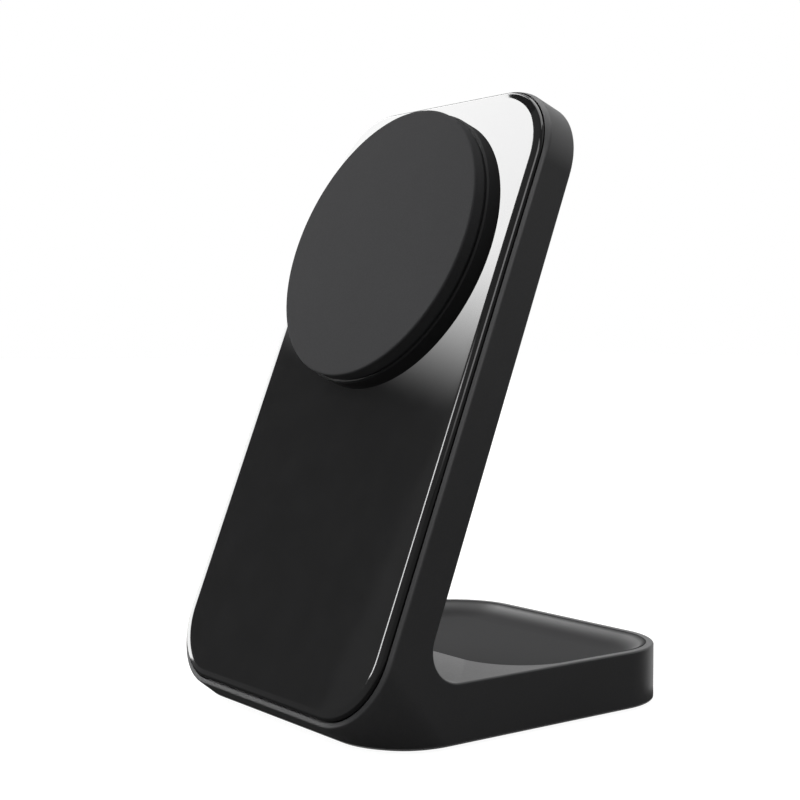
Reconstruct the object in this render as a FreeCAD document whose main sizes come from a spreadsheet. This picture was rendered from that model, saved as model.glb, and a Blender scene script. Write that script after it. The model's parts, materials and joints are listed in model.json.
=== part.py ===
"""Two-place magnetic charging stand: a leaning upright with a round phone pad, on a base with an earbud dish.

Frame: X to the right, Y to the back, Z up, origin under the middle of the stand on the table.
Two working frames are used. The base frame has its origin on the line where the plane of the upright's
front rim meets the plane of the housing's bottom edge. The slab frame is the base frame turned so that
its Y runs up the rim plane and its Z points out of it. The pad frame is the slab frame at the pad's centre.
"""
import FreeCAD, Part
import math
import os
import re
import Sketcher

Vector = FreeCAD.Vector

# Driving sizes in millimetres and degrees: name, value, meaning
SIZES = [
    ("stand_width", "70", "width of the housing"),
    ("lean", "21.46", "angle of the front rim plane from the vertical"),
    ("rim_low", "3.68", "lower edge of the front outline, up the rim plane"),
    ("rim_high", "128.8", "upper edge of the front outline, up the rim plane"),
    ("front_corner", "14.3", "lower corner radius of the front outline"),
    ("top_corner", "16", "upper corner radius of the front outline"),
    ("upright_low", "8.4", "thickness of the upright at the foot of the rim plane"),
    ("upright_high", "7.05", "thickness of the upright at its top"),
    ("root_round", "6.1", "inner radius between upright and base top"),
    ("base_height", "11.1", "housing bottom edge to base top"),
    ("base_rear", "80.3", "rear wall of the base"),
    ("rear_corner", "15.5", "corner radius of the base at the back"),
    ("floor_front", "5.95", "front edge of the housing's bottom"),
    ("floor_corner", "13.6", "front corner radius of the housing's bottom"),
    ("blend_side", "1", "straight side beside the blended front corners"),
    ("rim_edge", "0.3", "rounding of the front rim's outer edge"),
    ("body_edge", "0.4", "rounding of the rear and top edges"),
    ("floor_edge", "0.35", "rounding of the bottom edge"),
    ("rim_width", "0.95", "front rim left beside and below the panel recess"),
    ("top_rim", "0.35", "front rim left over the panel recess"),
    ("panel_gap", "0.25", "gap round the panel"),
    ("panel_thick", "1.78", "thickness of the panel"),
    ("panel_proud", "0.78", "panel front above the rim plane"),
    ("panel_curve", "2.2", "width of the panel's curved edge"),
    ("panel_lip", "0.62", "upright part of the panel's edge above the rim plane"),
    ("panel_hole", "4", "radius of the lead hole through the panel"),
    ("tape_thick", "0.15", "thickness of the panel tape"),
    ("tape_gap", "0.3", "tape edge to the panel recess wall and to the cavity"),
    ("ledge_width", "3", "ledge under the panel's border"),
    ("cavity_depth", "5", "upright cavity, from the rim plane"),
    ("cavity_low", "16", "lower end of the upright cavity, up the rim plane"),
    ("rib_width", "1.5", "ribs behind the panel"),
    ("rib_place", "16", "ribs to each side of the middle"),
    ("rib_low", "28", "lower end of the ribs"),
    ("rib_high", "62", "upper end of the ribs"),
    ("pad_place", "95.4", "pad centre, up the rim plane"),
    ("pad_front", "6.9", "pad front face above the rim plane"),
    ("face_radius", "28.25", "radius of the pad face"),
    ("face_height", "2.6", "visible height of the pad face"),
    ("face_skin", "1.2", "thickness of the pad face over the coil"),
    ("face_wall", "1.15", "skirt of the pad face"),
    ("face_edge", "0.35", "rounding of the pad face's front edge"),
    ("seam_gap", "0.22", "open seam between pad face and pad housing"),
    ("ring_step", "0.5", "pad housing outside the pad face"),
    ("ring_edge", "0.3", "chamfer of the pad housing's front edge"),
    ("ring_floor", "1.2", "floor of the pad housing"),
    ("ring_wall", "0.85", "wall of the pad housing beside the lip"),
    ("lip_length", "1.2", "lip of the pad face inside the pad housing"),
    ("slip", "0.05", "side clearance of fitted pieces"),
    ("pad_screw_circle", "9.5", "radius of the pad screws' circle"),
    ("screw_shank", "1", "radius of a screw's shank"),
    ("screw_play", "0.15", "room round a screw where it passes through"),
    ("screw_head", "1.9", "radius of a screw's head"),
    ("head_height", "0.7", "height of a flat screw head"),
    ("screw_reach", "3.2", "length of a screw in its boss"),
    ("boss_radius", "2.6", "radius of a screw boss"),
    ("boss_floor", "0.3", "hole left beyond a screw's tip"),
    ("lead_hole", "3", "radius of the lead hole in the pad floor"),
    ("magnet_play", "0.1", "magnets to the skirt of the pad face"),
    ("magnet_width", "3.8", "width of the magnet ring"),
    ("magnet_thick", "1.6", "thickness of the magnets"),
    ("magnet_count", "16", "magnets in the ring"),
    ("magnet_gap", "0.6", "gap between neighbouring magnets, at their inner radius"),
    ("yoke_thick", "0.4", "thickness of the steel ring behind the magnets"),
    ("coil_margin", "0.9", "phone ferrite outside the phone coil"),
    ("coil_width", "11.5", "width of the phone coil's winding"),
    ("coil_thick", "1.1", "thickness of the phone coil"),
    ("ferrite_play", "0.8", "phone ferrite to the magnet ring"),
    ("ferrite_thick", "0.8", "thickness of a ferrite"),
    ("lead_radius", "0.7", "radius of the coil lead"),
    ("lead_depth", "3.6", "lead centre behind the rim plane"),
    ("lead_bend", "2.5", "bend radius of the lead in the upright"),
    ("lead_base_bend", "4", "bend radius of the lead in the base"),
    ("dish_front", "34.75", "front edge of the dish"),
    ("dish_margin", "1.5", "rim of the base left round the dish"),
    ("dish_corner", "13.4", "front corner radius of the dish"),
    ("dish_depth", "2.4", "dish floor below the base top"),
    ("dish_slope", "30", "slope of the dish wall"),
    ("dish_cove", "15", "radius between dish wall and floor"),
    ("cove_share", "0.95", "most of the dish wall that its cove may take up"),
    ("dish_skin", "0.9", "thickness of the dish under its floor"),
    ("dish_land", "0.25", "flat land round the dish's hollow"),
    ("ceiling", "0.8", "housing left under the dish"),
    ("base_roof", "2", "housing left over the front of the base cavity"),
    ("plate_margin", "1.8", "housing wall round the base plate"),
    ("plate_thick", "1.2", "thickness of the base plate"),
    ("plate_ledge", "1.2", "ledge that the base plate rests on"),
    ("cavity_front", "10.5", "front wall of the base cavity"),
    ("front_cavity_rear", "34", "rear wall of the tall front part of the base cavity"),
    ("plate_boss_inset", "7", "base plate bosses from the housing's sides"),
    ("plate_boss_gap", "7.5", "front base plate bosses from the cavity's front wall"),
    ("plate_boss_setback", "12.3", "rear base plate bosses from the rear wall"),
    ("slot_half", "4", "half width of the lead slot between upright and base"),
    ("slot_rear", "13.5", "rear wall of the lead slot"),
    ("slot_high", "20", "upper end of the lead slot"),
    ("ballast_half", "22", "half width of the ballast"),
    ("ballast_gap", "1", "ballast to the cavity's front wall"),
    ("ballast_length", "21", "length of the ballast"),
    ("ballast_thick", "5.4", "thickness of the ballast"),
    ("ballast_corner", "1.5", "corner radius of the ballast"),
    ("ballast_groove", "2", "half width of the ballast's lead groove"),
    ("groove_play", "0.3", "room under the lead in the ballast's groove"),
    ("board_half", "21", "half width of the circuit board"),
    ("board_front", "38", "front edge of the circuit board"),
    ("board_setback", "3.7", "circuit board from the rear wall"),
    ("board_thick", "1", "thickness of the circuit board"),
    ("board_corner", "1.5", "corner radius of the circuit board"),
    ("post_inset", "3.5", "board posts from the board's edges"),
    ("post_radius", "2.2", "radius of a board post"),
    ("socket_width", "8.94", "width of the inlet's shell"),
    ("socket_height", "3.2", "height of the inlet's shell"),
    ("socket_wall", "0.3", "wall of the inlet's shell"),
    ("socket_length", "6.9", "length of the inlet's shell"),
    ("socket_sink", "0.7", "inlet mouth behind the rear wall"),
    ("socket_gap", "0.2", "clearance round the inlet in the rear wall"),
    ("socket_room", "0.2", "clearance between the inlet and the housing over it"),
    ("end_flat", "0.03", "flat left in the middle of the inlet's round ends"),
    ("tongue_half", "3.35", "half width of the inlet's tongue"),
    ("tongue_thick", "0.7", "thickness of the inlet's tongue"),
    ("tongue_corner", "0.25", "corner radius of the inlet's tongue"),
    ("tongue_length", "5.2", "length of the inlet's tongue"),
    ("bud_coil_inner", "6", "inner radius of the earbud coil"),
    ("bud_coil_thick", "0.8", "thickness of the earbud coil"),
    ("bud_coil_margin", "0.7", "earbud ferrite outside the earbud coil"),
    ("bud_room", "0.75", "earbud ferrite to the lead connector and to the inlet"),
    ("chip_side", "5", "side of the control chip"),
    ("chip_height", "0.9", "height of the control chip"),
    ("chip_setback", "12", "middle of the control chip, from the board's front edge"),
    ("inductor_side", "4.4", "side of a power inductor"),
    ("inductor_corner", "0.9", "corner radius of a power inductor"),
    ("inductor_height", "2.6", "height of a power inductor"),
    ("inductor_gap", "0.8", "power inductors to the earbud ferrite"),
    ("capacitor_length", "2", "length of a capacitor"),
    ("capacitor_width", "1.25", "width of a capacitor"),
    ("capacitor_height", "1.2", "height of a capacitor"),
    ("capacitor_pitch", "2.2", "pitch of the capacitors"),
    ("capacitor_count", "4", "capacitors in the row"),
    ("capacitor_setback", "24", "row of capacitors, from the board's front edge"),
    ("connector_half", "3", "half width of the lead connector"),
    ("connector_length", "2.8", "length of the lead connector"),
    ("connector_height", "2.6", "height of the lead connector"),
    ("foot_inset", "2", "foot pad inside the housing's bottom outline"),
    ("foot_thick", "0.6", "thickness of the foot pad"),
    ("foot_edge", "0.2", "rounding of the foot pad's edge"),
]

# Places and sizes that follow from the driving ones
DERIVED = {
    "half_width": "stand_width / 2",
    "blend_high": "rim_low + front_corner + blend_side",
    "blend_rear": "floor_front + floor_corner + blend_side",
    "taper": "(upright_high - upright_low) / rim_high",
    "root_place": "(base_height + upright_low * sin(lean)) / (cos(lean) - taper * sin(lean))",
    "root_thick": "upright_low + taper * root_place",
    "depth_middle": "(rim_low * sin(lean) + base_rear) / 2",
    "top_shift": "rim_width - top_rim",
    "recess_depth": "panel_thick - panel_proud + tape_thick",
    "panel_back": "panel_proud - panel_thick",
    "curve_drop": "panel_proud - panel_lip",
    "ring_radius": "face_radius + ring_step",
    "face_base": "pad_front - face_height",
    "ring_top": "face_base - seam_gap",
    "ring_floor_top": "panel_proud + ring_floor",
    "lip_end": "face_base - lip_length",
    "lip_outer": "ring_radius - ring_wall - slip",
    "face_inner": "face_radius - face_wall",
    "face_inside": "pad_front - face_skin",
    "magnet_outer": "face_inner - magnet_play",
    "magnet_inner": "magnet_outer - magnet_width",
    "ferrite_outer": "magnet_inner - ferrite_play",
    "coil_outer": "ferrite_outer - coil_margin",
    "coil_inner": "coil_outer - coil_width",
    "screw_hole": "screw_shank + slip",
    "screw_passage": "screw_shank + screw_play",
    "screw_length": "ring_floor_top + recess_depth + screw_reach",
    "boss_hole_depth": "recess_depth + screw_reach + boss_floor",
    "ferrite_back": "face_inside - coil_thick - ferrite_thick",
    "dish_rear": "base_rear - dish_margin",
    "dish_rear_corner": "rear_corner - dish_margin",
    "dish_seat": "base_height - dish_depth - dish_skin",
    "ceiling_low": "dish_seat - ceiling",
    "front_ceiling": "base_height - base_roof",
    "cavity_margin": "plate_margin + plate_ledge",
    "plate_boss_side": "half_width - plate_boss_inset",
    "plate_boss_front": "cavity_front + plate_boss_gap",
    "plate_boss_rear": "base_rear - plate_boss_setback",
    "board_top": "ceiling_low - socket_room - socket_height",
    "board_low": "board_top - board_thick",
    "board_rear": "base_rear - board_setback",
    "post_side": "board_half - post_inset",
    "chip_place": "board_front + chip_setback",
    "connector_back": "board_front + connector_length",
    "socket_back": "socket_front - socket_length",
    "bud_middle": "(connector_back + socket_back) / 2",
    "bud_ferrite_outer": "(socket_back - connector_back) / 2 - bud_room",
    "bud_coil_outer": "bud_ferrite_outer - bud_coil_margin",
    "inductor_place": "bud_ferrite_outer + inductor_gap + inductor_side / 2",
    "capacitor_place": "board_front + capacitor_setback",
    "socket_front": "base_rear - socket_sink",
    "socket_middle": "board_top + socket_height / 2",
    "lead_height": "board_top + connector_height / 2",
    "ballast_floor": "lead_height - lead_radius - groove_play - plate_thick",
}

doc = FreeCAD.newDocument("charging_stand")
sheet = doc.addObject("Spreadsheet::Sheet", "Sizes")
for row, (alias, text, meaning) in enumerate(SIZES, start=1):
    sheet.set(f"A{row}", alias)
    sheet.set(f"B{row}", text)
    sheet.setAlias(f"B{row}", alias)
    sheet.set(f"C{row}", meaning)
doc.recompute()

SIZE_NAMES = {alias for alias, text, meaning in SIZES}


def tied(expression):
    """The expression with sizes read from the sheet and derived names spelled out."""
    def spell(match):
        word = match.group(0)
        if word in DERIVED:
            return "(" + tied(DERIVED[word]) + ")"
        if word in SIZE_NAMES:
            return "Sizes." + word
        return word
    return re.sub(r"[a-z_]+", spell, expression)


def number(expression):
    """Value of an expression over the sheet, as a plain number."""
    result = sheet.evalExpression(tied(expression))
    return float(getattr(result, "Value", result))


def bind(thing, prop, expression):
    """Ties one property of an object to the sheet."""
    thing.setExpression(prop, tied(expression))


# Working frames

LEAN_TURN = FreeCAD.Rotation(Vector(1, 0, 0), 90 - number("lean"))
BASE_FRAME = FreeCAD.Placement(Vector(0, -number("depth_middle"), number("foot_thick")), FreeCAD.Rotation())
SLAB_FRAME = FreeCAD.Placement(BASE_FRAME.Base, LEAN_TURN)
PAD_FRAME = SLAB_FRAME.multiply(FreeCAD.Placement(Vector(0, number("pad_place"), 0), FreeCAD.Rotation()))


def base_frame_at(x, y, z):
    """The base frame moved to a place given by expressions."""
    shift = Vector(number(x), number(y), number(z))
    return BASE_FRAME.multiply(FreeCAD.Placement(shift, FreeCAD.Rotation()))


# Bodies, sketches and features

def new_body(name, placement):
    """A body whose label is the node's name."""
    body = doc.addObject("PartDesign::Body", name)
    body.Label = name
    body.Placement = placement
    return body


def origin_part(body, role):
    """A plane or axis of the body's own origin."""
    return next(part for part in body.Origin.OriginFeatures if part.Role == role)


def new_sketch(body, name, role="XY_Plane", lift="0", leaning=False):
    """A sketch on an origin plane, lifted along its normal, or turned onto the rim plane."""
    sketch = body.newObject("Sketcher::SketchObject", f"{body.Name}_{name}")
    sketch.AttachmentSupport = [(origin_part(body, role), "")]
    sketch.MapMode = "FlatFace"
    if leaning:
        sketch.AttachmentOffset = FreeCAD.Placement(Vector(0, 0, 0), LEAN_TURN)
        bind(sketch, "AttachmentOffset.Rotation.Angle", "90 - lean")
    bind(sketch, "AttachmentOffset.Base.z", lift)
    return sketch


def dimension(sketch, kind, places, expression):
    """A dimension tied to the sheet."""
    index = sketch.addConstraint(Sketcher.Constraint(kind, *places, number(expression)))
    bind(sketch, f"Constraints[{index}]", expression)


def fix_point(sketch, geometry, position, x, y):
    """Places a point of the sketch by expressions, on an axis where the expression is 0."""
    for kind, axis, expression in (("DistanceX", -2, x), ("DistanceY", -1, y)):
        if expression == "0":
            sketch.addConstraint(Sketcher.Constraint("PointOnObject", geometry, position, axis))
        else:
            dimension(sketch, kind, (-1, 1, geometry, position), expression)


def corner_arc(before, corner, after, radius):
    """Tangent points and arc that round a corner, and whether the outline turns left there."""
    to_before = (before - corner).normalize()
    to_after = (after - corner).normalize()
    half_angle = math.acos(to_before.dot(to_after)) / 2
    reach = radius / math.tan(half_angle)
    first = corner + to_before * reach
    last = corner + to_after * reach
    middle = corner + (to_before + to_after).normalize() * (radius / math.sin(half_angle))
    left_turn = to_after.cross(to_before).z > 0
    begin, end = (first, last) if left_turn else (last, first)
    angles = [math.atan2(point.y - middle.y, point.x - middle.x) for point in (begin, end)]
    if angles[1] < angles[0]:
        angles[1] += 2 * math.pi
    arc = Part.ArcOfCircle(Part.Circle(middle, Vector(0, 0, 1), radius), *angles)
    return first, last, arc, left_turn


def add_outline(sketch, corners):
    """A closed outline of straight sides. Each corner is x, y and a radius, as expressions; None is sharp."""
    points = [Vector(number(x), number(y), 0) for x, y, radius in corners]
    count = len(corners)
    rounds = []
    for index, (x, y, radius) in enumerate(corners):
        if radius is None:
            rounds.append((points[index], points[index], None, True))
        else:
            around = points[index - 1], points[index], points[(index + 1) % count]
            rounds.append(corner_arc(*around, number(radius)))
    lines = []
    for index in range(count):
        side = Part.LineSegment(rounds[index][1], rounds[(index + 1) % count][0])
        lines.append(sketch.addGeometry(side, False))
    for index, (x, y, radius) in enumerate(corners):
        line_in = lines[index - 1]
        line_out = lines[index]
        if radius is None:
            sketch.addConstraint(Sketcher.Constraint("Coincident", line_in, 2, line_out, 1))
            fix_point(sketch, line_out, 1, x, y)
            continue
        arc = sketch.addGeometry(rounds[index][2], False)
        mark = sketch.addGeometry(Part.Point(points[index]), True)
        start, stop = (1, 2) if rounds[index][3] else (2, 1)
        sketch.addConstraint(Sketcher.Constraint("Tangent", line_in, 2, arc, start))
        sketch.addConstraint(Sketcher.Constraint("Tangent", arc, stop, line_out, 1))
        sketch.addConstraint(Sketcher.Constraint("PointOnObject", mark, 1, line_in))
        sketch.addConstraint(Sketcher.Constraint("PointOnObject", mark, 1, line_out))
        dimension(sketch, "Radius", (arc,), radius)
        fix_point(sketch, mark, 1, x, y)


def add_circle(sketch, x, y, radius):
    """A circle placed and sized by expressions."""
    circle = Part.Circle(Vector(number(x), number(y), 0), Vector(0, 0, 1), number(radius))
    geometry = sketch.addGeometry(circle, False)
    dimension(sketch, "Radius", (geometry,), radius)
    fix_point(sketch, geometry, 3, x, y)


def pad(body, name, sketch, length, both_ways=False, reverse=False):
    """Grows the body from a sketch."""
    feature = body.newObject("PartDesign::Pad", f"{body.Name}_{name}")
    feature.Profile = sketch
    bind(feature, "Length", length)
    feature.SideType = "Symmetric" if both_ways else "One side"
    feature.Reversed = reverse
    doc.recompute()
    return feature


def pocket(body, name, sketch, length, reverse=False, slope=None):
    """Cuts the body from a sketch, and makes sure that something was cut."""
    before = body.Shape.Volume
    feature = body.newObject("PartDesign::Pocket", f"{body.Name}_{name}")
    feature.Profile = sketch
    bind(feature, "Length", length)
    feature.Reversed = reverse
    if slope:
        bind(feature, "TaperAngle", slope)
    doc.recompute()
    if not body.Shape.Volume < before:
        raise RuntimeError(f"{feature.Name} cut nothing")
    return feature


def revolve(body, name, sketch):
    """Turns a half section, drawn on the XZ plane, about the body's Z axis."""
    feature = body.newObject("PartDesign::Revolution", f"{body.Name}_{name}")
    feature.Profile = sketch
    feature.ReferenceAxis = (origin_part(body, "Z_Axis"), [""])
    feature.Angle = 360
    doc.recompute()
    return feature


def edges_where(feature, test):
    """Names of the feature's edges that pass a test."""
    edges = feature.Shape.Edges
    return [f"Edge{index}" for index, edge in enumerate(edges, start=1) if test(edge)]


def dress(body, kind, name, test, prop, expression):
    """A fillet or chamfer on the edges of the body's last feature that pass a test."""
    base = body.Tip
    feature = body.newObject(f"PartDesign::{kind}", f"{body.Name}_{name}")
    feature.Base = (base, edges_where(base, test))
    bind(feature, prop, expression)
    doc.recompute()
    return feature


def all_points(edge, test):
    """Whether both ends and the middle of an edge pass a test."""
    first, last = edge.ParameterRange
    return all(test(edge.valueAt(value)) for value in (first, (first + last) / 2, last))


def polar_copies(body, features, count):
    """Copies features evenly about the body's Z axis."""
    pattern = body.newObject("PartDesign::PolarPattern", f"{body.Name}_ring")
    pattern.Originals = features
    pattern.Axis = (origin_part(body, "Z_Axis"), [""])
    pattern.Angle = 360
    bind(pattern, "Occurrences", count)
    body.Tip = pattern
    doc.recompute()
    return pattern


def block(body, name, half_x, low_y, high_y, height, radius=None, lift="0"):
    """A pad of a rectangle that is centred on X, with rounded corners where a radius is given."""
    sketch = new_sketch(body, f"{name}_outline", lift=lift)
    add_outline(sketch, rectangle(half_x, low_y, high_y, radius, radius))
    return pad(body, name, sketch, height)


def disc(body, name, radius, hole, lift, height):
    """A flat ring or disc on the body's Z axis."""
    sketch = new_sketch(body, f"{name}_outline", lift=lift)
    add_circle(sketch, "0", "0", radius)
    if hole:
        add_circle(sketch, "0", "0", hole)
    return pad(body, name, sketch, height)


def rectangle(half_x, low_y, high_y, low_radius, high_radius):
    """Corners of a rectangle that is centred on X."""
    left = f"-({half_x})"
    return [
        (left, low_y, low_radius),
        (half_x, low_y, low_radius),
        (half_x, high_y, high_radius),
        (left, high_y, high_radius),
    ]


def front_rectangle(inset, low=None):
    """The front outline on the rim plane, drawn in by an inset and by less at the top."""
    low = low or f"rim_low + ({inset})"
    radii = f"front_corner - ({inset})", f"top_corner - ({inset}) + top_shift / 2"
    return rectangle(f"half_width - ({inset})", low, f"rim_high - ({inset}) + top_shift", *radii)


def floor_rectangle(inset, front=None):
    """The outline of the housing's bottom, drawn in by an inset."""
    front_radius = f"floor_corner - ({inset})"
    rear_radius = f"rear_corner - ({inset})"
    front = front or f"floor_front + ({inset})"
    return rectangle(f"half_width - ({inset})", front, f"base_rear - ({inset})", front_radius, rear_radius)


def dish_rectangle(inset):
    """The outline of the dish, drawn in by an inset."""
    radii = f"dish_corner - ({inset})", f"dish_rear_corner - ({inset})"
    half = f"half_width - dish_margin - ({inset})"
    return rectangle(half, f"dish_front + ({inset})", f"dish_rear - ({inset})", *radii)


PLATE_BOSSES = [
    (side, place)
    for place in ("plate_boss_front", "plate_boss_rear")
    for side in ("-plate_boss_side", "plate_boss_side")
]
PAD_SCREWS = [
    (f"pad_screw_circle * cos({angle})", f"pad_screw_circle * sin({angle})")
    for angle in (90, 210, 330)
]
BOARD_POSTS = [
    (side, place)
    for place in ("board_front + post_inset", "board_rear - post_inset")
    for side in ("-post_side", "post_side")
]


# Housing

def slab_depth(point):
    """How far a point of the base frame stands out of the rim plane."""
    lean = math.radians(number("lean"))
    return point.z * math.sin(lean) - point.y * math.cos(lean)


def on_rim(point):
    return abs(slab_depth(point)) < 1e-4


def on_bottom(point):
    return abs(point.z) < 1e-4


def is_back_face(face):
    """Whether a face is the rear of the upright, the root's round or the base top."""
    surface = face.Surface
    if surface.TypeId == "Part::GeomCylinder":
        return abs(surface.Axis.x) > 0.999 and abs(surface.Radius - number("root_round")) < 1e-4
    if surface.TypeId != "Part::GeomPlane":
        return False
    normal = face.normalAt(0, 0)
    return normal.z > 0.999 or slab_depth(normal) < -0.99


def back_outline(shape):
    """A test for the edges round the back faces, taken as one patch."""
    edges = [edge for face in shape.Faces if is_back_face(face) for edge in face.Edges]
    outer = [edge for edge in edges if sum(edge.isSame(other) for other in edges) == 1]
    return lambda edge: any(edge.isSame(one) for one in outer)


def make_housing():
    """One moulded piece: leaning upright, blended foot front and base, hollowed from the front and below."""
    body = new_body("housing", BASE_FRAME)
    half_width = number("half_width")

    side = new_sketch(body, "side", "YZ_Plane")
    add_outline(side, [
        ("blend_high * sin(lean)", "blend_high * cos(lean)", None),
        ("blend_rear", "0", None),
        ("base_rear", "0", None),
        ("base_rear", "base_height", None),
        ("root_place * sin(lean) + root_thick * cos(lean)", "base_height", "root_round"),
        ("rim_high * sin(lean) + upright_high * cos(lean)",
         "rim_high * cos(lean) - upright_high * sin(lean)", None),
        ("rim_high * sin(lean)", "rim_high * cos(lean)", None),
    ])
    pad(body, "profile", side, "stand_width", both_ways=True)

    def on_side(point):
        return abs(abs(point.x) - half_width) < 1e-4

    def rear_corner_edge(edge):
        return all_points(edge, lambda p: on_side(p) and abs(p.y - number("base_rear")) < 1e-4)

    def top_corner_edge(edge):
        top = number("rim_high")
        lean = math.radians(number("lean"))

        def at_top(point):
            return abs(point.y * math.sin(lean) + point.z * math.cos(lean) - top) < 1e-4
        return all_points(edge, lambda p: on_side(p) and at_top(p))

    dress(body, "Fillet", "rear_corners", rear_corner_edge, "Radius", "rear_corner")
    dress(body, "Fillet", "top_corners", top_corner_edge, "Radius", "top_corner")

    front = new_sketch(body, "foot_front", leaning=True)
    add_outline(front, rectangle("half_width", "rim_low", "blend_high", "front_corner", None))
    floor = new_sketch(body, "foot_floor")
    add_outline(floor, rectangle("half_width", "floor_front", "blend_rear", "floor_corner", None))
    loft = body.newObject("PartDesign::AdditiveLoft", "housing_foot")
    loft.Profile = front
    loft.Sections = [floor]
    loft.Ruled = True
    doc.recompute()

    dress(body, "Fillet", "rim_edges", lambda e: all_points(e, on_rim), "Radius", "rim_edge")
    dress(body, "Fillet", "floor_edges", lambda e: all_points(e, on_bottom), "Radius", "floor_edge")
    dress(body, "Fillet", "body_edges", back_outline(body.Tip.Shape), "Radius", "body_edge")

    recess = new_sketch(body, "panel_recess", leaning=True)
    add_outline(recess, front_rectangle("rim_width"))
    pocket(body, "panel_seat", recess, "recess_depth")

    hollow = new_sketch(body, "upright_hollow", leaning=True)
    add_outline(hollow, front_rectangle("rim_width + ledge_width", low="cavity_low"))
    for x, y in PAD_SCREWS:
        add_circle(hollow, x, f"pad_place + {y}", "boss_radius")
    for side_sign in ("-", ""):
        middle = f"{side_sign}rib_place"
        add_outline(hollow, [
            (f"{middle} - rib_width / 2", "rib_low", None),
            (f"{middle} + rib_width / 2", "rib_low", None),
            (f"{middle} + rib_width / 2", "rib_high", None),
            (f"{middle} - rib_width / 2", "rib_high", None),
        ])
    pocket(body, "upright_cavity", hollow, "cavity_depth")

    pilot = new_sketch(body, "pad_pilot_holes", leaning=True)
    for x, y in PAD_SCREWS:
        add_circle(pilot, x, f"pad_place + {y}", "screw_hole")
    pocket(body, "pad_pilots", pilot, "boss_hole_depth")

    dish = new_sketch(body, "dish_outline", lift="base_height")
    add_outline(dish, dish_rectangle("0"))
    pocket(body, "dish_seat", dish, "dish_depth + dish_skin")

    plate = new_sketch(body, "plate_outline")
    add_outline(plate, floor_rectangle("plate_margin"))
    pocket(body, "plate_seat", plate, "plate_thick", reverse=True)

    lower = new_sketch(body, "lower_hollow")
    add_outline(lower, floor_rectangle("cavity_margin", front="cavity_front"))
    for x, y in PLATE_BOSSES:
        add_circle(lower, x, y, "boss_radius")
    pocket(body, "lower_cavity", lower, "board_top", reverse=True)

    upper = new_sketch(body, "upper_hollow")
    add_outline(upper, floor_rectangle("cavity_margin", front="cavity_front"))
    for x, y in PLATE_BOSSES:
        add_circle(upper, x, y, "boss_radius")
    for x, y in BOARD_POSTS:
        add_circle(upper, x, y, "post_radius")
    pocket(body, "upper_cavity", upper, "ceiling_low", reverse=True)

    tall = new_sketch(body, "front_hollow")
    corner = "floor_corner - cavity_margin"
    hollow_half = "half_width - cavity_margin"
    add_outline(tall, rectangle(hollow_half, "cavity_front", "front_cavity_rear", corner, None))
    for x, y in PLATE_BOSSES[:2]:
        add_circle(tall, x, y, "boss_radius")
    pocket(body, "front_cavity", tall, "front_ceiling", reverse=True)

    slot = new_sketch(body, "lead_slot")
    add_outline(slot, rectangle("slot_half", "cavity_front", "slot_rear", None, None))
    pocket(body, "lead_passage", slot, "slot_high", reverse=True)

    holes = new_sketch(body, "screw_holes")
    for x, y in PLATE_BOSSES:
        add_circle(holes, x, y, "screw_hole")
    pocket(body, "plate_pilots", holes, "plate_thick + screw_reach + boss_floor", reverse=True)
    holes = new_sketch(body, "post_holes")
    for x, y in BOARD_POSTS:
        add_circle(holes, x, y, "screw_hole")
    pocket(body, "post_pilots", holes, "ceiling_low", reverse=True)

    mouth = new_sketch(body, "inlet", "XZ_Plane", lift="-base_rear")
    half_height = "socket_height / 2 + socket_gap"
    add_outline(mouth, stadium("socket_width / 2 + socket_gap", half_height, "socket_middle"))
    pocket(body, "inlet_mouth", mouth, "cavity_margin + body_edge", reverse=True)
    return body


def stadium(half_x, half_y, middle_y):
    """Corners of a slot with nearly round ends."""
    radius = f"{half_y} - end_flat"
    return rectangle(half_x, f"{middle_y} - ({half_y})", f"{middle_y} + ({half_y})", radius, radius)


# Front panel

def make_front_panel():
    """A gloss panel whose front edge falls away in a shallow curve all round."""
    body = new_body("front_panel", SLAB_FRAME)
    outline = new_sketch(body, "outline", lift="panel_back")
    add_outline(outline, front_rectangle("rim_width + panel_gap"))
    add_circle(outline, "0", "pad_place", "panel_hole")
    for x, y in PAD_SCREWS:
        add_circle(outline, x, f"pad_place + {y}", "screw_passage")
    pad(body, "plate", outline, "panel_thick")

    path = new_sketch(body, "edge_path", lift="panel_proud")
    add_outline(path, front_rectangle("rim_width + panel_gap"))
    section = new_sketch(body, "edge_section", "YZ_Plane")
    edge_low = number("rim_low + rim_width + panel_gap")
    drop = number("curve_drop")
    width = number("panel_curve")
    radius = (width ** 2 + drop ** 2) / (2 * drop)
    front = number("panel_proud")
    middle = Vector(edge_low + width, front - radius, 0)
    lower_angle = math.pi - math.asin((radius - drop) / radius)
    arc = Part.ArcOfCircle(Part.Circle(middle, Vector(0, 0, 1), radius), math.pi / 2, lower_angle)
    curve = section.addGeometry(arc, False)
    outside = section.addGeometry(Part.LineSegment(arc.EndPoint, Vector(edge_low, front, 0)), False)
    top = section.addGeometry(Part.LineSegment(Vector(edge_low, front, 0), arc.StartPoint), False)
    section.addConstraint(Sketcher.Constraint("Coincident", curve, 2, outside, 1))
    section.addConstraint(Sketcher.Constraint("Coincident", outside, 2, top, 1))
    section.addConstraint(Sketcher.Constraint("Tangent", top, 2, curve, 1))
    section.addConstraint(Sketcher.Constraint("Vertical", outside))
    section.addConstraint(Sketcher.Constraint("Horizontal", top))
    fix_point(section, outside, 2, "rim_low + rim_width + panel_gap", "panel_proud")
    dimension(section, "DistanceX", (top, 1, top, 2), "panel_curve")
    dimension(section, "DistanceY", (outside, 1, outside, 2), "curve_drop")
    sweep = body.newObject("PartDesign::SubtractivePipe", "front_panel_curve")
    sweep.Profile = section
    sweep.Spine = (path, [f"Edge{index}" for index in range(1, len(path.Shape.Edges) + 1)])
    doc.recompute()
    return body


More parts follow.
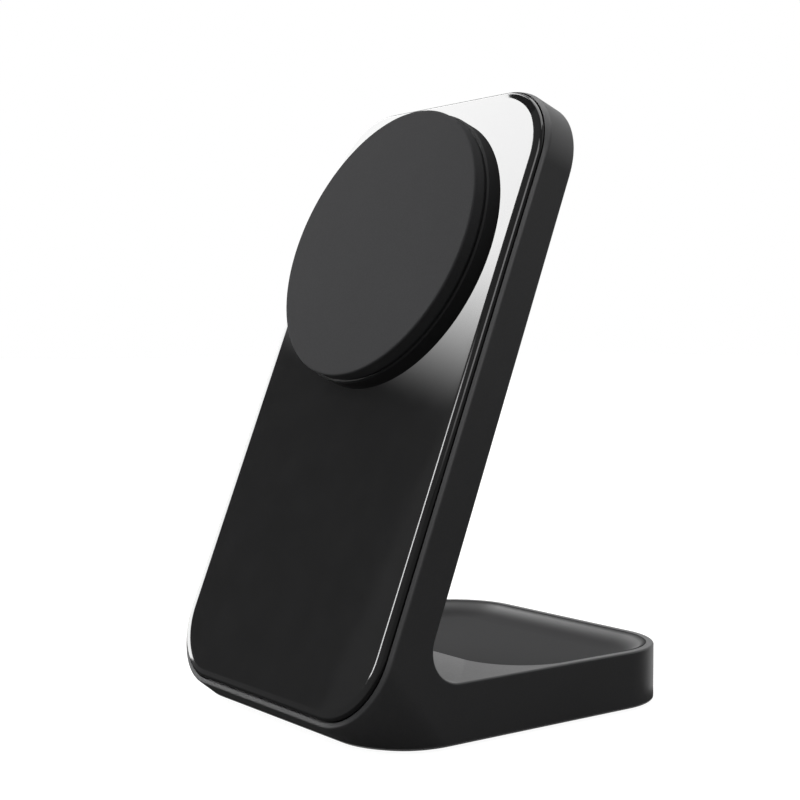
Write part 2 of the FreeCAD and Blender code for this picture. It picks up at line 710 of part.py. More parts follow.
def make_panel_tape():
    """Frame of adhesive between the panel's border and its ledge."""
    body = new_body("panel_tape", SLAB_FRAME)
    sketch = new_sketch(body, "outline", lift="-recess_depth")
    add_outline(sketch, front_rectangle("rim_width + tape_gap"))
    inner = "rim_width + ledge_width - tape_gap"
    add_outline(sketch, front_rectangle(inner, low="cavity_low - tape_gap"))
    pad(body, "frame", sketch, "tape_thick")
    return body


# Phone pad

def section_on(body, name, corners):
    """A half section on the XZ plane: distance from the axis, then height."""
    sketch = new_sketch(body, name, "XZ_Plane")
    add_outline(sketch, corners)
    return sketch


def make_pad_housing():
    """Rear part of the pad: a floor, a ledge for the face's lip and an outer ring with a bright edge."""
    body = new_body("pad_housing", PAD_FRAME)
    wall_inner = "ring_radius - ring_wall"
    section = section_on(body, "section", [
        ("lead_hole", "panel_proud", None),
        ("ring_radius", "panel_proud", None),
        ("ring_radius", "ring_top - ring_edge", None),
        ("ring_radius - ring_edge", "ring_top", None),
        (wall_inner, "ring_top", None),
        (wall_inner, "lip_end", None),
        ("face_inner", "lip_end", None),
        ("face_inner", "ring_floor_top", None),
        ("lead_hole", "ring_floor_top", None),
    ])
    revolve(body, "cup", section)
    holes = new_sketch(body, "screw_holes", lift="panel_proud")
    for x, y in PAD_SCREWS:
        add_circle(holes, x, y, "screw_passage")
    pocket(body, "screw_passages", holes, "ring_floor", reverse=True)
    return body


def make_pad_face():
    """Front cover of the pad: a thin face, a skirt and a lip that stands on the housing's ledge."""
    body = new_body("pad_face", PAD_FRAME)
    section = section_on(body, "section", [
        ("0", "face_inside", None),
        ("face_inner", "face_inside", None),
        ("face_inner", "lip_end", None),
        ("lip_outer", "lip_end", None),
        ("lip_outer", "face_base", None),
        ("face_radius", "face_base", None),
        ("face_radius", "pad_front", "face_edge"),
        ("0", "pad_front", None),
    ])
    revolve(body, "cover", section)
    return body


def make_pad_screws():
    """Screws from the pad's floor through the panel into the bosses of the upright."""
    body = new_body("pad_screws", PAD_FRAME)
    sketch = new_sketch(body, "heads", lift="ring_floor_top")
    add_circle(sketch, "0", "pad_screw_circle", "screw_head")
    head = pad(body, "head", sketch, "head_height")
    sketch = new_sketch(body, "shanks", lift="ring_floor_top")
    add_circle(sketch, "0", "pad_screw_circle", "screw_shank")
    shank = pad(body, "shank", sketch, "screw_length", reverse=True)
    polar_copies(body, [head, shank], str(len(PAD_SCREWS)))
    return body


def make_magnet_ring():
    """Arc magnets, side by side in a ring behind the pad's face."""
    body = new_body("magnet_ring", PAD_FRAME)
    sketch = new_sketch(body, "outline", lift="face_inside - magnet_thick")
    inner = number("magnet_inner")
    outer = number("magnet_outer")
    half = math.pi / number("magnet_count") - number("magnet_gap") / 2 / inner
    centre = Vector(0, 0, 0)
    axis = Vector(0, 0, 1)
    arcs = [
        sketch.addGeometry(Part.ArcOfCircle(Part.Circle(centre, axis, radius), -half, half), False)
        for radius in (inner, outer)
    ]
    sides = []
    for sign in (-1, 1):
        direction = Vector(math.cos(half), sign * math.sin(half), 0)
        sides.append(sketch.addGeometry(Part.LineSegment(direction * inner, direction * outer), False))
    for arc, radius in zip(arcs, ("magnet_inner", "magnet_outer")):
        sketch.addConstraint(Sketcher.Constraint("Coincident", arc, 3, -1, 1))
        dimension(sketch, "Radius", (arc,), radius)
    for position, line in zip((1, 2), sides):
        sketch.addConstraint(Sketcher.Constraint("Coincident", line, 1, arcs[0], position))
        sketch.addConstraint(Sketcher.Constraint("Coincident", line, 2, arcs[1], position))
    half_angle = "180 / magnet_count - 90 * magnet_gap / pi / magnet_inner"
    for line, sign in zip(sides, ("-", "")):
        dimension(sketch, "DistanceY", (-1, 1, line, 1), f"{sign}magnet_inner * sin({half_angle})")
        dimension(sketch, "DistanceY", (-1, 1, line, 2), f"{sign}magnet_outer * sin({half_angle})")
    magnet = pad(body, "magnet", sketch, "magnet_thick")
    polar_copies(body, [magnet], "magnet_count")
    return body


def make_phone_pad_inside():
    """Steel ring, coil and ferrite, stacked on the inside of the pad's face."""
    yoke = new_body("magnet_yoke", PAD_FRAME)
    yoke_back = "face_inside - magnet_thick - yoke_thick"
    disc(yoke, "ring", "magnet_outer", "magnet_inner", yoke_back, "yoke_thick")
    coil = new_body("phone_coil", PAD_FRAME)
    disc(coil, "winding", "coil_outer", "coil_inner", "face_inside - coil_thick", "coil_thick")
    ferrite = new_body("phone_ferrite", PAD_FRAME)
    disc(ferrite, "sheet", "ferrite_outer", None, "ferrite_back", "ferrite_thick")
    return [yoke, coil, ferrite]


def make_lead():
    """Lead from the pad, down the upright and through the slot to the board, as runs joined by arcs."""
    lean = math.radians(number("lean"))

    def slab_point(up, out):
        back = up * math.sin(lean) - out * math.cos(lean)
        return Vector(0, back, up * math.cos(lean) + out * math.sin(lean))

    depth = -number("lead_depth")
    height = number("lead_height")
    start = slab_point(number("pad_place"), number("ferrite_back"))
    behind_pad = slab_point(number("pad_place"), depth)
    slot_middle = (number("cavity_front") + number("slot_rear")) / 2
    over_slot = slab_point((slot_middle + depth * math.cos(lean)) / math.sin(lean), depth)
    in_base = Vector(0, slot_middle, height)
    stop = Vector(0, number("board_front"), height)
    corners = [(behind_pad, "lead_bend"), (over_slot, "lead_base_bend"), (in_base, "lead_base_bend")]
    route = [start] + [point for point, bend in corners] + [stop]
    edges = []
    place = start
    for index, (corner, bend) in enumerate(corners, start=1):
        to_before = (route[index - 1] - corner).normalize()
        to_after = (route[index + 1] - corner).normalize()
        half_angle = math.acos(to_before.dot(to_after)) / 2
        radius = number(bend)
        first = corner + to_before * (radius / math.tan(half_angle))
        last = corner + to_after * (radius / math.tan(half_angle))
        out = (to_before + to_after).normalize()
        middle = corner + out * (radius / math.sin(half_angle) - radius)
        edges.append(Part.LineSegment(place, first).toShape())
        edges.append(Part.Arc(first, middle, last).toShape())
        place = last
    edges.append(Part.LineSegment(place, stop).toShape())
    path = Part.Wire(edges)
    ring = Part.Wire(Part.Circle(start, route[1] - start, number("lead_radius")).toShape())
    lead = doc.addObject("Part::Feature", "phone_coil_lead")
    lead.Label = "phone_coil_lead"
    lead.Shape = path.makePipeShell([ring], True, False)
    lead.Placement = BASE_FRAME
    return lead


# Earbud dish

def make_earbud_dish():
    """Soft insert with a flat floor that sweeps up to its rim in a smooth cove."""
    body = new_body("earbud_dish", BASE_FRAME)
    sketch = new_sketch(body, "outline", lift="dish_seat")
    add_outline(sketch, dish_rectangle("slip"))
    pad(body, "block", sketch, "dish_depth + dish_skin")
    mouth = new_sketch(body, "hollow", lift="base_height")
    add_outline(mouth, dish_rectangle("slip + dish_land"))
    pocket(body, "bowl", mouth, "dish_depth", slope="dish_slope - 90")
    floor = number("base_height - dish_depth")
    wall_limit = "cove_share * dish_depth / sin(dish_slope) / tan(dish_slope / 2)"
    dress(body, "Fillet", "cove", lambda e: all_points(e, lambda p: abs(p.z - floor) < 1e-4),
          "Radius", f"min(dish_cove; {wall_limit})")
    return body


def make_earbud_coil():
    """Coil under the dish, fixed to the housing, and the ferrite under it."""
    place = base_frame_at("0", "bud_middle", "ceiling_low")
    coil = new_body("earbud_coil", place)
    disc(coil, "winding", "bud_coil_outer", "bud_coil_inner", "-bud_coil_thick", "bud_coil_thick")
    ferrite = new_body("earbud_ferrite", place)
    disc(ferrite, "sheet", "bud_ferrite_outer", None, "-bud_coil_thick - ferrite_thick", "ferrite_thick")
    return [coil, ferrite]


# Board and inlet

def make_circuit_board():
    """Board screwed up against the posts that hang from the housing."""
    body = new_body("circuit_board", BASE_FRAME)
    sketch = new_sketch(body, "outline", lift="board_low")
    add_outline(sketch, rectangle("board_half", "board_front", "board_rear", "board_corner", "board_corner"))
    for x, y in BOARD_POSTS:
        add_circle(sketch, x, y, "screw_passage")
    pad(body, "plate", sketch, "board_thick")
    return body


def make_usb_socket():
    """Drawn steel shell of the inlet, open to the back, and the tongue inside it."""
    place = base_frame_at("0", "socket_front", "socket_middle")
    shell = new_body("usb_socket", place)
    sketch = new_sketch(shell, "outside", "XZ_Plane")
    add_outline(sketch, stadium("socket_width / 2", "socket_height / 2", "0"))
    pad(shell, "shell", sketch, "socket_length")
    sketch = new_sketch(shell, "inside", "XZ_Plane")
    add_outline(sketch, stadium("socket_width / 2 - socket_wall", "socket_height / 2 - socket_wall", "0"))
    pocket(shell, "mouth", sketch, "socket_length - socket_wall", reverse=True)
    tongue = new_body("usb_tongue", place)
    sketch = new_sketch(tongue, "section", "XZ_Plane", lift="socket_length - socket_wall - tongue_length")
    add_outline(sketch, rectangle(
        "tongue_half", "-tongue_thick / 2", "tongue_thick / 2", "tongue_corner", "tongue_corner"))
    pad(tongue, "blade", sketch, "tongue_length")
    return [shell, tongue]


def make_board_parts():
    """Chip, inductors, capacitors and the connector of the coil lead, standing on the board."""
    chip = new_body("control_chip", base_frame_at("0", "chip_place", "board_top"))
    block(chip, "package", "chip_side / 2", "-chip_side / 2", "chip_side / 2", "chip_height")

    inductors = new_body("power_inductors", BASE_FRAME)
    sketch = new_sketch(inductors, "outlines", lift="board_top")
    half = "inductor_side / 2"
    for sign in ("-", ""):
        add_outline(sketch, [
            (f"{sign}inductor_place - {half}", f"bud_middle - {half}", "inductor_corner"),
            (f"{sign}inductor_place + {half}", f"bud_middle - {half}", "inductor_corner"),
            (f"{sign}inductor_place + {half}", f"bud_middle + {half}", "inductor_corner"),
            (f"{sign}inductor_place - {half}", f"bud_middle + {half}", "inductor_corner"),
        ])
    pad(inductors, "cores", sketch, "inductor_height")

    capacitors = new_body("capacitors", base_frame_at(
        "-(capacitor_count - 1) / 2 * capacitor_pitch", "capacitor_place", "board_top"))
    first = block(capacitors, "body", "capacitor_width / 2", "-capacitor_length / 2", "capacitor_length / 2",
                  "capacitor_height")
    row = capacitors.newObject("PartDesign::LinearPattern", "capacitors_row")
    row.Originals = [first]
    row.Direction = (origin_part(capacitors, "X_Axis"), [""])
    row.Occurrences = int(number("capacitor_count"))
    bind(row, "Length", "(capacitor_count - 1) * capacitor_pitch")
    capacitors.Tip = row

    connector = new_body("lead_connector", BASE_FRAME)
    block(connector, "shell", "connector_half", "board_front", "connector_back",
          "connector_height", lift="board_top")
    doc.recompute()
    return [chip, inductors, capacitors, connector]


def make_board_screws():
    """Screws that hold the board to its posts, heads down."""
    body = new_body("board_screws", base_frame_at("-post_side", "board_front + post_inset", "board_low"))
    sketch = new_sketch(body, "heads")
    add_circle(sketch, "0", "0", "screw_head")
    head = pad(body, "head", sketch, "head_height", reverse=True)
    sketch = new_sketch(body, "shanks")
    add_circle(sketch, "0", "0", "screw_shank")
    shank = pad(body, "shank", sketch, "board_thick + ceiling_low - board_top - boss_floor")
    copy_to_corners(body, [head, shank], "2 * post_side", "board_rear - board_front - 2 * post_inset")
    return body


def copy_to_corners(body, features, length, width):
    """Copies features to the corners of a rectangle along the body's X and Y."""
    pattern = body.newObject("PartDesign::LinearPattern", f"{body.Name}_corners")
    pattern.Originals = features
    pattern.Direction = (origin_part(body, "X_Axis"), [""])
    pattern.Occurrences = 2
    bind(pattern, "Length", length)
    pattern.Direction2 = (origin_part(body, "Y_Axis"), [""])
    pattern.Occurrences2 = 2
    bind(pattern, "Length2", width)
    body.Tip = pattern
    doc.recompute()


# Bottom

def make_ballast():
    """Steel weight under the upright, with a groove for the lead."""
    body = new_body("ballast_plate", BASE_FRAME)
    front = "cavity_front + ballast_gap"
    rear = f"{front} + ballast_length"
    block(body, "slab", "ballast_half", front, rear, "ballast_thick",
          radius="ballast_corner", lift="plate_thick")
    groove = new_sketch(body, "groove", lift="plate_thick + ballast_thick")
    add_outline(groove, rectangle("ballast_groove", "cavity_front", f"{rear} + ballast_gap", None, None))
    pocket(body, "lead_groove", groove, "ballast_thick - ballast_floor")
    return body


def make_base_plate():
    """Bottom cover with countersunk holes, and openings that clear the heads of the board screws."""
    body = new_body("base_plate", BASE_FRAME)
    sketch = new_sketch(body, "outline")
    add_outline(sketch, floor_rectangle("plate_margin + slip"))
    for x, y in PLATE_BOSSES:
        add_circle(sketch, x, y, "screw_passage")
    for x, y in BOARD_POSTS:
        add_circle(sketch, x, y, "screw_head + screw_play")
    pad(body, "plate", sketch, "plate_thick")
    radius = number("screw_passage")

    def hole_edge(edge):
        round_edge = edge.Curve.TypeId == "Part::GeomCircle" and abs(edge.Curve.Radius - radius) < 1e-6
        return round_edge and abs(edge.BoundBox.ZMax) < 1e-6
    dress(body, "Chamfer", "countersinks", hole_edge, "Size", "screw_head - screw_shank")
    return body


def make_plate_screws():
    """Countersunk screws of the base plate."""
    body = new_body("plate_screws", base_frame_at("-plate_boss_side", "plate_boss_front", "0"))
    sketch = section_on(body, "section", [
        ("0", "slip", None),
        ("screw_head", "slip", None),
        ("screw_shank", "slip + screw_head - screw_shank", None),
        ("screw_shank", "plate_thick + screw_reach", None),
        ("0", "plate_thick + screw_reach", None),
    ])
    screw = revolve(body, "screw", sketch)
    copy_to_corners(body, [screw], "2 * plate_boss_side", "plate_boss_rear - plate_boss_front")
    return body


def make_foot_pad():
    """Soft sheet under the base plate, on which the stand rests."""
    body = new_body("foot_pad", BASE_FRAME)
    sketch = new_sketch(body, "outline", lift="-foot_thick")
    add_outline(sketch, floor_rectangle("foot_inset"))
    pad(body, "sheet", sketch, "foot_thick")
    low = -number("foot_thick")

    def lower_edge(edge):
        return all_points(edge, lambda point: abs(point.z - low) < 1e-6)
    dress(body, "Fillet", "edge", lower_edge, "Radius", "foot_edge")
    return body


def main():
    nodes = [
        make_housing(),
        make_front_panel(),
        make_panel_tape(),
        make_pad_housing(),
        make_pad_face(),
        make_pad_screws(),
        make_magnet_ring(),
        *make_phone_pad_inside(),
        make_lead(),
        make_earbud_dish(),
        *make_earbud_coil(),
        make_circuit_board(),
        *make_usb_socket(),
        *make_board_parts(),
        make_board_screws(),
        make_ballast(),
        make_base_plate(),
        make_plate_screws(),
        make_foot_pad(),
    ]
    doc.recompute()
    for thing in doc.Objects:
        if "Invalid" in thing.State or "Error" in thing.State:
            raise RuntimeError(f"{thing.Name} failed: {thing.State}")
    for node in nodes:
        if node.Shape.isNull() or not node.Shape.isValid():
            raise RuntimeError(f"{node.Label} has no valid shape")
    os.makedirs("parts", exist_ok=True)
    for node in nodes:
        node.Shape.exportStep(f"parts/{node.Label}.step")
        print(node.Label, len(node.Shape.Solids), "solids,", round(node.Shape.Volume, 2), "mm3")


main()
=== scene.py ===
# %% [markdown]
# # A charging stand for a phone and an earbud case
# The stand is one black moulding in the shape of an L. A gloss panel fills the front of its leaning
# upright, a round magnetic pad stands out of the panel, and the base has a soft dish behind the upright.
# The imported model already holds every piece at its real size, so this lesson only dresses it: the pieces
# that show are modelled again with smooth curves, every surface gets a finish, and a studio is set up.

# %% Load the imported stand
import json
import math
import bpy
from mathutils import Matrix, Vector


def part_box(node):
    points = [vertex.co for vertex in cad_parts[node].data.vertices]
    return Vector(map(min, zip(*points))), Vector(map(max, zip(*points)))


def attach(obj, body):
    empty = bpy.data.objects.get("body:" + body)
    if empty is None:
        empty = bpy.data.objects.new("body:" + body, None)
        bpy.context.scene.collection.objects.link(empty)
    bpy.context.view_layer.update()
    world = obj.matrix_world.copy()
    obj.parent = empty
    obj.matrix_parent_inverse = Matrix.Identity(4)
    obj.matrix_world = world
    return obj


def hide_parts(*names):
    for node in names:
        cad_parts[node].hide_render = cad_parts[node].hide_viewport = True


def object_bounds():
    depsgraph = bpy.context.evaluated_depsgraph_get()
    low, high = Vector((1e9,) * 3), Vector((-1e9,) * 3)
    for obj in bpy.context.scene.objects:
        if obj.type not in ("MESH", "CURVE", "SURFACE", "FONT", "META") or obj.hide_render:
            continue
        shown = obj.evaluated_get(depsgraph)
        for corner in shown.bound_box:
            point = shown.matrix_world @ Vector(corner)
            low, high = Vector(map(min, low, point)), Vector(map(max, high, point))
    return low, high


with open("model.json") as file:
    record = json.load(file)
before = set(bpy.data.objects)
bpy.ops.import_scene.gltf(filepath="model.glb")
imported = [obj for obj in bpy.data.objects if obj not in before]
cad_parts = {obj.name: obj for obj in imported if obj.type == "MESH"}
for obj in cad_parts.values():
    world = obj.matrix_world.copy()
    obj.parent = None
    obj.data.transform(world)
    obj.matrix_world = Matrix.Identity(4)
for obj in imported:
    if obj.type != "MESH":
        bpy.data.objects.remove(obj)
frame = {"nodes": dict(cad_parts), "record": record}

MM = 0.001
cad_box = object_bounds()
record = frame["record"]
cad_sides = [round(side / MM, 1) for side in cad_box[1] - cad_box[0]]
print("nodes:", len(frame["nodes"]), "size in mm:", cad_sides)

# %% [markdown]
# ## The photograph's camera
# The camera was fitted to the stand's edges: it looks from the front right, a little above the middle of
# the upright. It could be aimed by a constraint, but a plain place and two turns are easier to change.

# %% Camera
CAMERA_PLACE = (239.19 * MM, -184.90 * MM, 73.42 * MM)
CAMERA_TURN = 53.223
CAMERA_PITCH = 2.488
CAMERA_LENS = 67.27
CAMERA_CLIP = 10 * MM

bpy.ops.object.select_all(action="DESELECT")
aim = (math.radians(90 - CAMERA_PITCH), 0, math.radians(CAMERA_TURN))
bpy.ops.object.camera_add(location=CAMERA_PLACE, rotation=aim)
camera = bpy.context.object
camera.data.lens = CAMERA_LENS
camera.data.clip_start = CAMERA_CLIP
bpy.context.scene.camera = camera
print("camera looks from", [round(value / MM) for value in camera.location], "mm")

# %% [markdown]
# ## The pad's own frame
# The pad, the panel and the upright share one leaning plane. The record's phone_face mount gives the
# middle of the pad's front and the way it faces, so pieces are modelled lying flat, with Z out of the
# pad, and are then stood up by this one matrix. Turning every point by hand would work too, but it hides
# the real sizes.

# %% Pad frame and measuring
mounts = {mount["name"]: mount for mount in record["mounts"]}
pad_out = Vector(mounts["phone_face"]["axis"]).normalized()
pad_right = Vector((1, 0, 0))
pad_up = pad_out.cross(pad_right)
pad_frame = Matrix((pad_right, pad_up, pad_out)).transposed().to_4x4()
pad_frame.translation = Vector(mounts["phone_face"]["pos_m"])


def measured(node, place):
    """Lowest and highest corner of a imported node, seen in a frame of its own."""
    turned_back = place.inverted()
    points = [turned_back @ vertex.co for vertex in frame["nodes"][node].data.vertices]
    low = Vector([min(point[axis] for point in points) for axis in range(3)])
    high = Vector([max(point[axis] for point in points) for axis in range(3)])
    return low, high


print("pad leans back", round(math.degrees(math.asin(pad_out.z)), 2), "degrees")

# %% [markdown]
# ## Hand tools
# A few small helpers stand for what the hands do in edit mode: pick points by their place, raise a
# picked face, and step it inwards while it rises. A mouse would do the same, but a place that is worked
# out in code is exact.

# %% Hand tools
def pick_points(piece, test):
    """Selects the points whose place passes a test, and leaves the piece in edit mode."""
    bpy.ops.object.mode_set(mode="EDIT")
    bpy.ops.mesh.select_mode(type="VERT")
    bpy.ops.mesh.select_all(action="DESELECT")
    bpy.ops.object.mode_set(mode="OBJECT")
    for vertex in piece.data.vertices:
        vertex.select = test(vertex.co)
    bpy.ops.object.mode_set(mode="EDIT")


def raised(height):
    """Extrudes the picked face along Z."""
    bpy.ops.mesh.extrude_region_move(TRANSFORM_OT_translate={"value": (0, 0, height)})


def step_in(distance, rise):
    """Insets the picked face and moves it along Z."""
    bpy.ops.mesh.inset(thickness=distance, depth=0)
    if rise:
        bpy.ops.transform.translate(value=(0, 0, rise))


# %% [markdown]
# ## Plates with rounded corners
# The panel, the dish and the foot are all plates with rounded corners. Each starts as a plane at its
# size, and a vertex bevel rounds its lower and upper corners with their own radius. A filled curve would
# give the same outline, but a bevelled plane stays a mesh that can be extruded and inset at once.

# %% Rounded plate
CORNER_STEPS = 28
MERGE_DISTANCE = 0.002 * MM


def rounded_plate(name, low, high, low_radius, high_radius):
    """A flat face with rounded corners at the lowest height, picked and in edit mode."""
    bpy.ops.object.select_all(action="DESELECT")
    middle = (low + high) / 2
    bpy.ops.mesh.primitive_plane_add(size=1, location=(middle.x, middle.y, low.z))
    plate = bpy.context.object
    plate.name = name
    plate.scale = (high.x - low.x, high.y - low.y, 1)
    bpy.ops.object.transform_apply(location=True, rotation=True, scale=True)
    for edge, radius in ((low.y, low_radius), (high.y, high_radius)):
        pick_points(plate, lambda point: abs(point.y - edge) < MERGE_DISTANCE)
        bpy.ops.mesh.bevel(offset=radius, segments=CORNER_STEPS, affect="VERTICES")
    bpy.ops.mesh.select_all(action="SELECT")
    return plate


# %% [markdown]
# ## Finishing a piece
# A modelled piece still has doubled points, flat shading and faces that may point inwards. So each is
# merged and turned outwards, put in its frame and smoothed, and the packed node that it stands for is
# hidden. Smooth shading alone would bend the light on big flat faces, so weighted normals keep them flat
# beside small rounded edges.

# %% Finishing a piece
SMOOTH_ANGLE = math.radians(35)


def smoothed(piece):
    """Smooth shading that keeps sharp edges and flat faces."""
    bpy.ops.object.select_all(action="DESELECT")
    piece.select_set(True)
    bpy.context.view_layer.objects.active = piece
    bpy.ops.object.shade_smooth_by_angle(angle=SMOOTH_ANGLE)
    bpy.ops.object.modifier_add(type="WEIGHTED_NORMAL")
    piece.modifiers[-1].keep_sharp = True
    bpy.ops.object.modifier_apply(modifier=piece.modifiers[-1].name)


def stand_for(piece, node):
    """Smooths a piece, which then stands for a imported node."""
    smoothed(piece)
    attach(piece, "root")
    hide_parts(node)
    print(piece.name, "has", len(piece.data.polygons), "faces")


def finished(piece, node, place):
    """Closes a modelled piece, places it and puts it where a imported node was."""
    bpy.ops.object.mode_set(mode="EDIT")
    bpy.ops.mesh.select_all(action="SELECT")
    bpy.ops.mesh.remove_doubles(threshold=MERGE_DISTANCE)
    bpy.ops.mesh.normals_make_consistent(inside=False)
    bpy.ops.object.mode_set(mode="OBJECT")
    piece.data.transform(place)
    stand_for(piece, node)


# %% [markdown]
# ## The gloss panel
# The panel is a hard glossy plate that stands a little proud of the rim. Its front bends softly into a
# shallow bevel all round, which ends in a small rounded edge. The bend and the edge carry the thin
# bright lines beside the dark bevel, so the border is a profile that is followed by many small insets. A
# bevel modifier would be quicker, but it makes one round of equal width and height.

# %% Front panel
PANEL_LOW_CORNER = 13.1 * MM
PANEL_HIGH_CORNER = 15.1 * MM
BORDER_WIDTH = 2.2 * MM
BORDER_DROP = 0.16 * MM
BEND_WIDTH = 1.0 * MM
EDGE_ROUND = 0.6 * MM
BEND_STEPS = 10
EDGE_STEPS = 10
FLAT_BORDER = 0.4 * MM


def border_profile():
    """Pairs of distance from the outer edge and height against the flat front, from the edge inwards."""
    slope = BORDER_DROP / (BORDER_WIDTH - BEND_WIDTH / 2)
    angle = math.atan(slope)
    centre = slope * (EDGE_ROUND - BORDER_WIDTH + BEND_WIDTH / 2) - EDGE_ROUND / math.cos(angle)
    points = []
    for step in range(EDGE_STEPS + 1):
        turn = math.pi / 2 + (angle - math.pi / 2) * step / EDGE_STEPS
        points.append((EDGE_ROUND * (1 - math.sin(turn)), centre + EDGE_ROUND * math.cos(turn)))
    for step in range(BEND_STEPS + 1):
        left = BEND_WIDTH * (1 - step / BEND_STEPS)
        points.append((BORDER_WIDTH - left, -slope * left ** 2 / (2 * BEND_WIDTH)))
    return points + [(BORDER_WIDTH + FLAT_BORDER, 0)]


low, high = measured("front_panel", pad_frame)
front_panel = rounded_plate("gloss_panel", low, high, PANEL_LOW_CORNER, PANEL_HIGH_CORNER)
profile = border_profile()
raised(high.z - low.z + profile[0][1])
for before, after in zip(profile, profile[1:]):
    step_in(after[0] - before[0], after[1] - before[1])
finished(front_panel, "front_panel", pad_frame)

# %% [markdown]
# ## Turned pieces
# The pad is round, so its two visible pieces are turned ones. They could be spun from a drawn profile.
# Here a circle is extruded and scaled ring by ring, which keeps each ring a clean loop and shows the
# profile as a list of radius and height.

# %% Turned pieces
TURN_STEPS = 192


def turned(name, profile):
    """A ring-shaped or disc-shaped piece, made ring by ring from pairs of radius and height."""
    bpy.ops.object.select_all(action="DESELECT")
    radius, height = profile[0]
    bpy.ops.mesh.primitive_circle_add(vertices=TURN_STEPS, radius=radius, location=(0, 0, height))
    piece = bpy.context.object
    piece.name = name
    bpy.ops.object.transform_apply(location=True)
    bpy.ops.object.mode_set(mode="EDIT")
    bpy.ops.mesh.select_all(action="SELECT")
    for next_radius, next_height in profile[1:]:
        raised(next_height - height)
        scale = next_radius / radius
        bpy.ops.transform.resize(value=(scale, scale, 1))
        radius, height = next_radius, next_height
    return piece


def quarter_round(radius, height, edge, steps):
    """Profile points of a rounded outer edge, from the flat front down to the side."""
    angles = [math.pi / 2 * step / steps for step in range(steps + 1)]
    centre = (radius - edge, height - edge)
    return [(centre[0] + edge * math.sin(angle), centre[1] + edge * math.cos(angle)) for angle in angles]


# %% [markdown]
# ## The pad's face
# The phone lies against a matte cover with a small rounded edge and a lip that plugs into the ring
# behind. A disc would show the same front, but the real cover is a thin cup, so its inside is turned as
# well. The profile stops short of the middle, and the two small circles left there are filled.

# %% Pad face
FACE_HEIGHT = 2.35 * MM
FACE_SKIN = 1.2 * MM
FACE_EDGE = 0.35 * MM
FACE_EDGE_STEPS = 6
LIP_OUTER = 27.85 * MM
FACE_INNER = 27.1 * MM
FACE_CENTRE = 2 * MM

low, high = measured("pad_face", pad_frame)
face_radius = high.x
lip_end = low.z
profile = [(FACE_CENTRE, high.z), (face_radius - 2 * FACE_EDGE, high.z)]
profile += quarter_round(face_radius, high.z, FACE_EDGE, FACE_EDGE_STEPS)
profile += [
    (face_radius, high.z - FACE_HEIGHT),
    (LIP_OUTER, high.z - FACE_HEIGHT),
    (LIP_OUTER, lip_end),
    (FACE_INNER, lip_end),
    (FACE_INNER, high.z - FACE_SKIN),
    (FACE_CENTRE, high.z - FACE_SKIN),
]
pad_face = turned("pad_cover", profile)
for height in (high.z, high.z - FACE_SKIN):
    middle = Vector((0, 0, height))
    pick_points(pad_face, lambda point: (point - middle).length < FACE_CENTRE + MERGE_DISTANCE)
    bpy.ops.mesh.edge_face_add()
finished(pad_face, "pad_face", pad_frame)

# %% [markdown]
# ## The pad's ring
# Behind an open seam the face sits in a ring whose fine chamfer catches the light. Inside the chamfer
# the ring is lower, so the seam is a deep dark line. A dark stripe in the material would be quicker, but
# only a real groove stays dark from every side.

# %% Pad ring
RING_FLOOR = 1.2 * MM
RING_WALL = 0.85 * MM
RING_EDGE = 0.3 * MM
RING_BORE = 3 * MM
SEAM_DEPTH = 0.6 * MM

low, high = measured("pad_housing", pad_frame)
ring_radius = high.x
profile = [
    (RING_BORE, low.z),
    (ring_radius, low.z),
    (ring_radius, high.z - RING_EDGE),
    (ring_radius - RING_EDGE, high.z),
    (ring_radius - RING_EDGE, high.z - SEAM_DEPTH),
    (ring_radius - RING_WALL, high.z - SEAM_DEPTH),
    (ring_radius - RING_WALL, lip_end),
    (FACE_INNER, lip_end),
    (FACE_INNER, low.z + RING_FLOOR),
    (RING_BORE, low.z + RING_FLOOR),
    (RING_BORE, low.z),
]
pad_ring = turned("pad_ring", profile)
finished(pad_ring, "pad_housing", pad_frame)

# %% [markdown]
# ## The soft dish
# An earbud case lies in a soft insert whose floor sweeps up to its rim. From the camera the cove is what
# shows, as a gradient from dark to pale, so its wall is built from a slope and an arc, one small inset
# at a time. Sculpting a block would be freer, but insets keep the same distance from the rim all round.

# %% Earbud dish
DISH_FRONT_CORNER = 13.35 * MM
DISH_REAR_CORNER = 13.95 * MM
DISH_BEVEL = 0.2 * MM
DISH_LAND = 0.25 * MM
DISH_DEPTH = 2.4 * MM
DISH_SLOPE = math.radians(30)
DISH_COVE = 15 * MM
COVE_STEPS = 14

low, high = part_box("earbud_dish")
dish_top = high.z
dish = rounded_plate("soft_dish", low, high, DISH_FRONT_CORNER, DISH_REAR_CORNER)
raised(high.z - low.z - DISH_BEVEL)
step_in(DISH_BEVEL, DISH_BEVEL)
step_in(DISH_LAND, 0)
slope_drop = DISH_DEPTH - DISH_COVE * (1 - math.cos(DISH_SLOPE))
step_in(slope_drop / math.tan(DISH_SLOPE), -slope_drop)
for step in range(COVE_STEPS):
    before = DISH_SLOPE * (1 - step / COVE_STEPS)
    after = DISH_SLOPE * (1 - (step + 1) / COVE_STEPS)
    inwards = DISH_COVE * (math.sin(before) - math.sin(after))
    rise = DISH_COVE * (math.cos(before) - math.cos(after))
    step_in(inwards, rise)
step_in(FLAT_BORDER, 0)
finished(dish, "earbud_dish", Matrix.Identity(4))

# %% [markdown]
# ## The foot
# A soft pad under the base keeps the stand from sliding. It only shows from below and as a dark line
# under the base. It could be extruded downwards, but the helpers work upwards, so it is modelled upside
# down as a plate with a rounded edge, and a half turn puts its soft side down.

# %% Foot pad
FOOT_FRONT_CORNER = 11.6 * MM
FOOT_REAR_CORNER = 13.5 * MM
FOOT_EDGE = 0.2 * MM
FOOT_EDGE_STEPS = 4

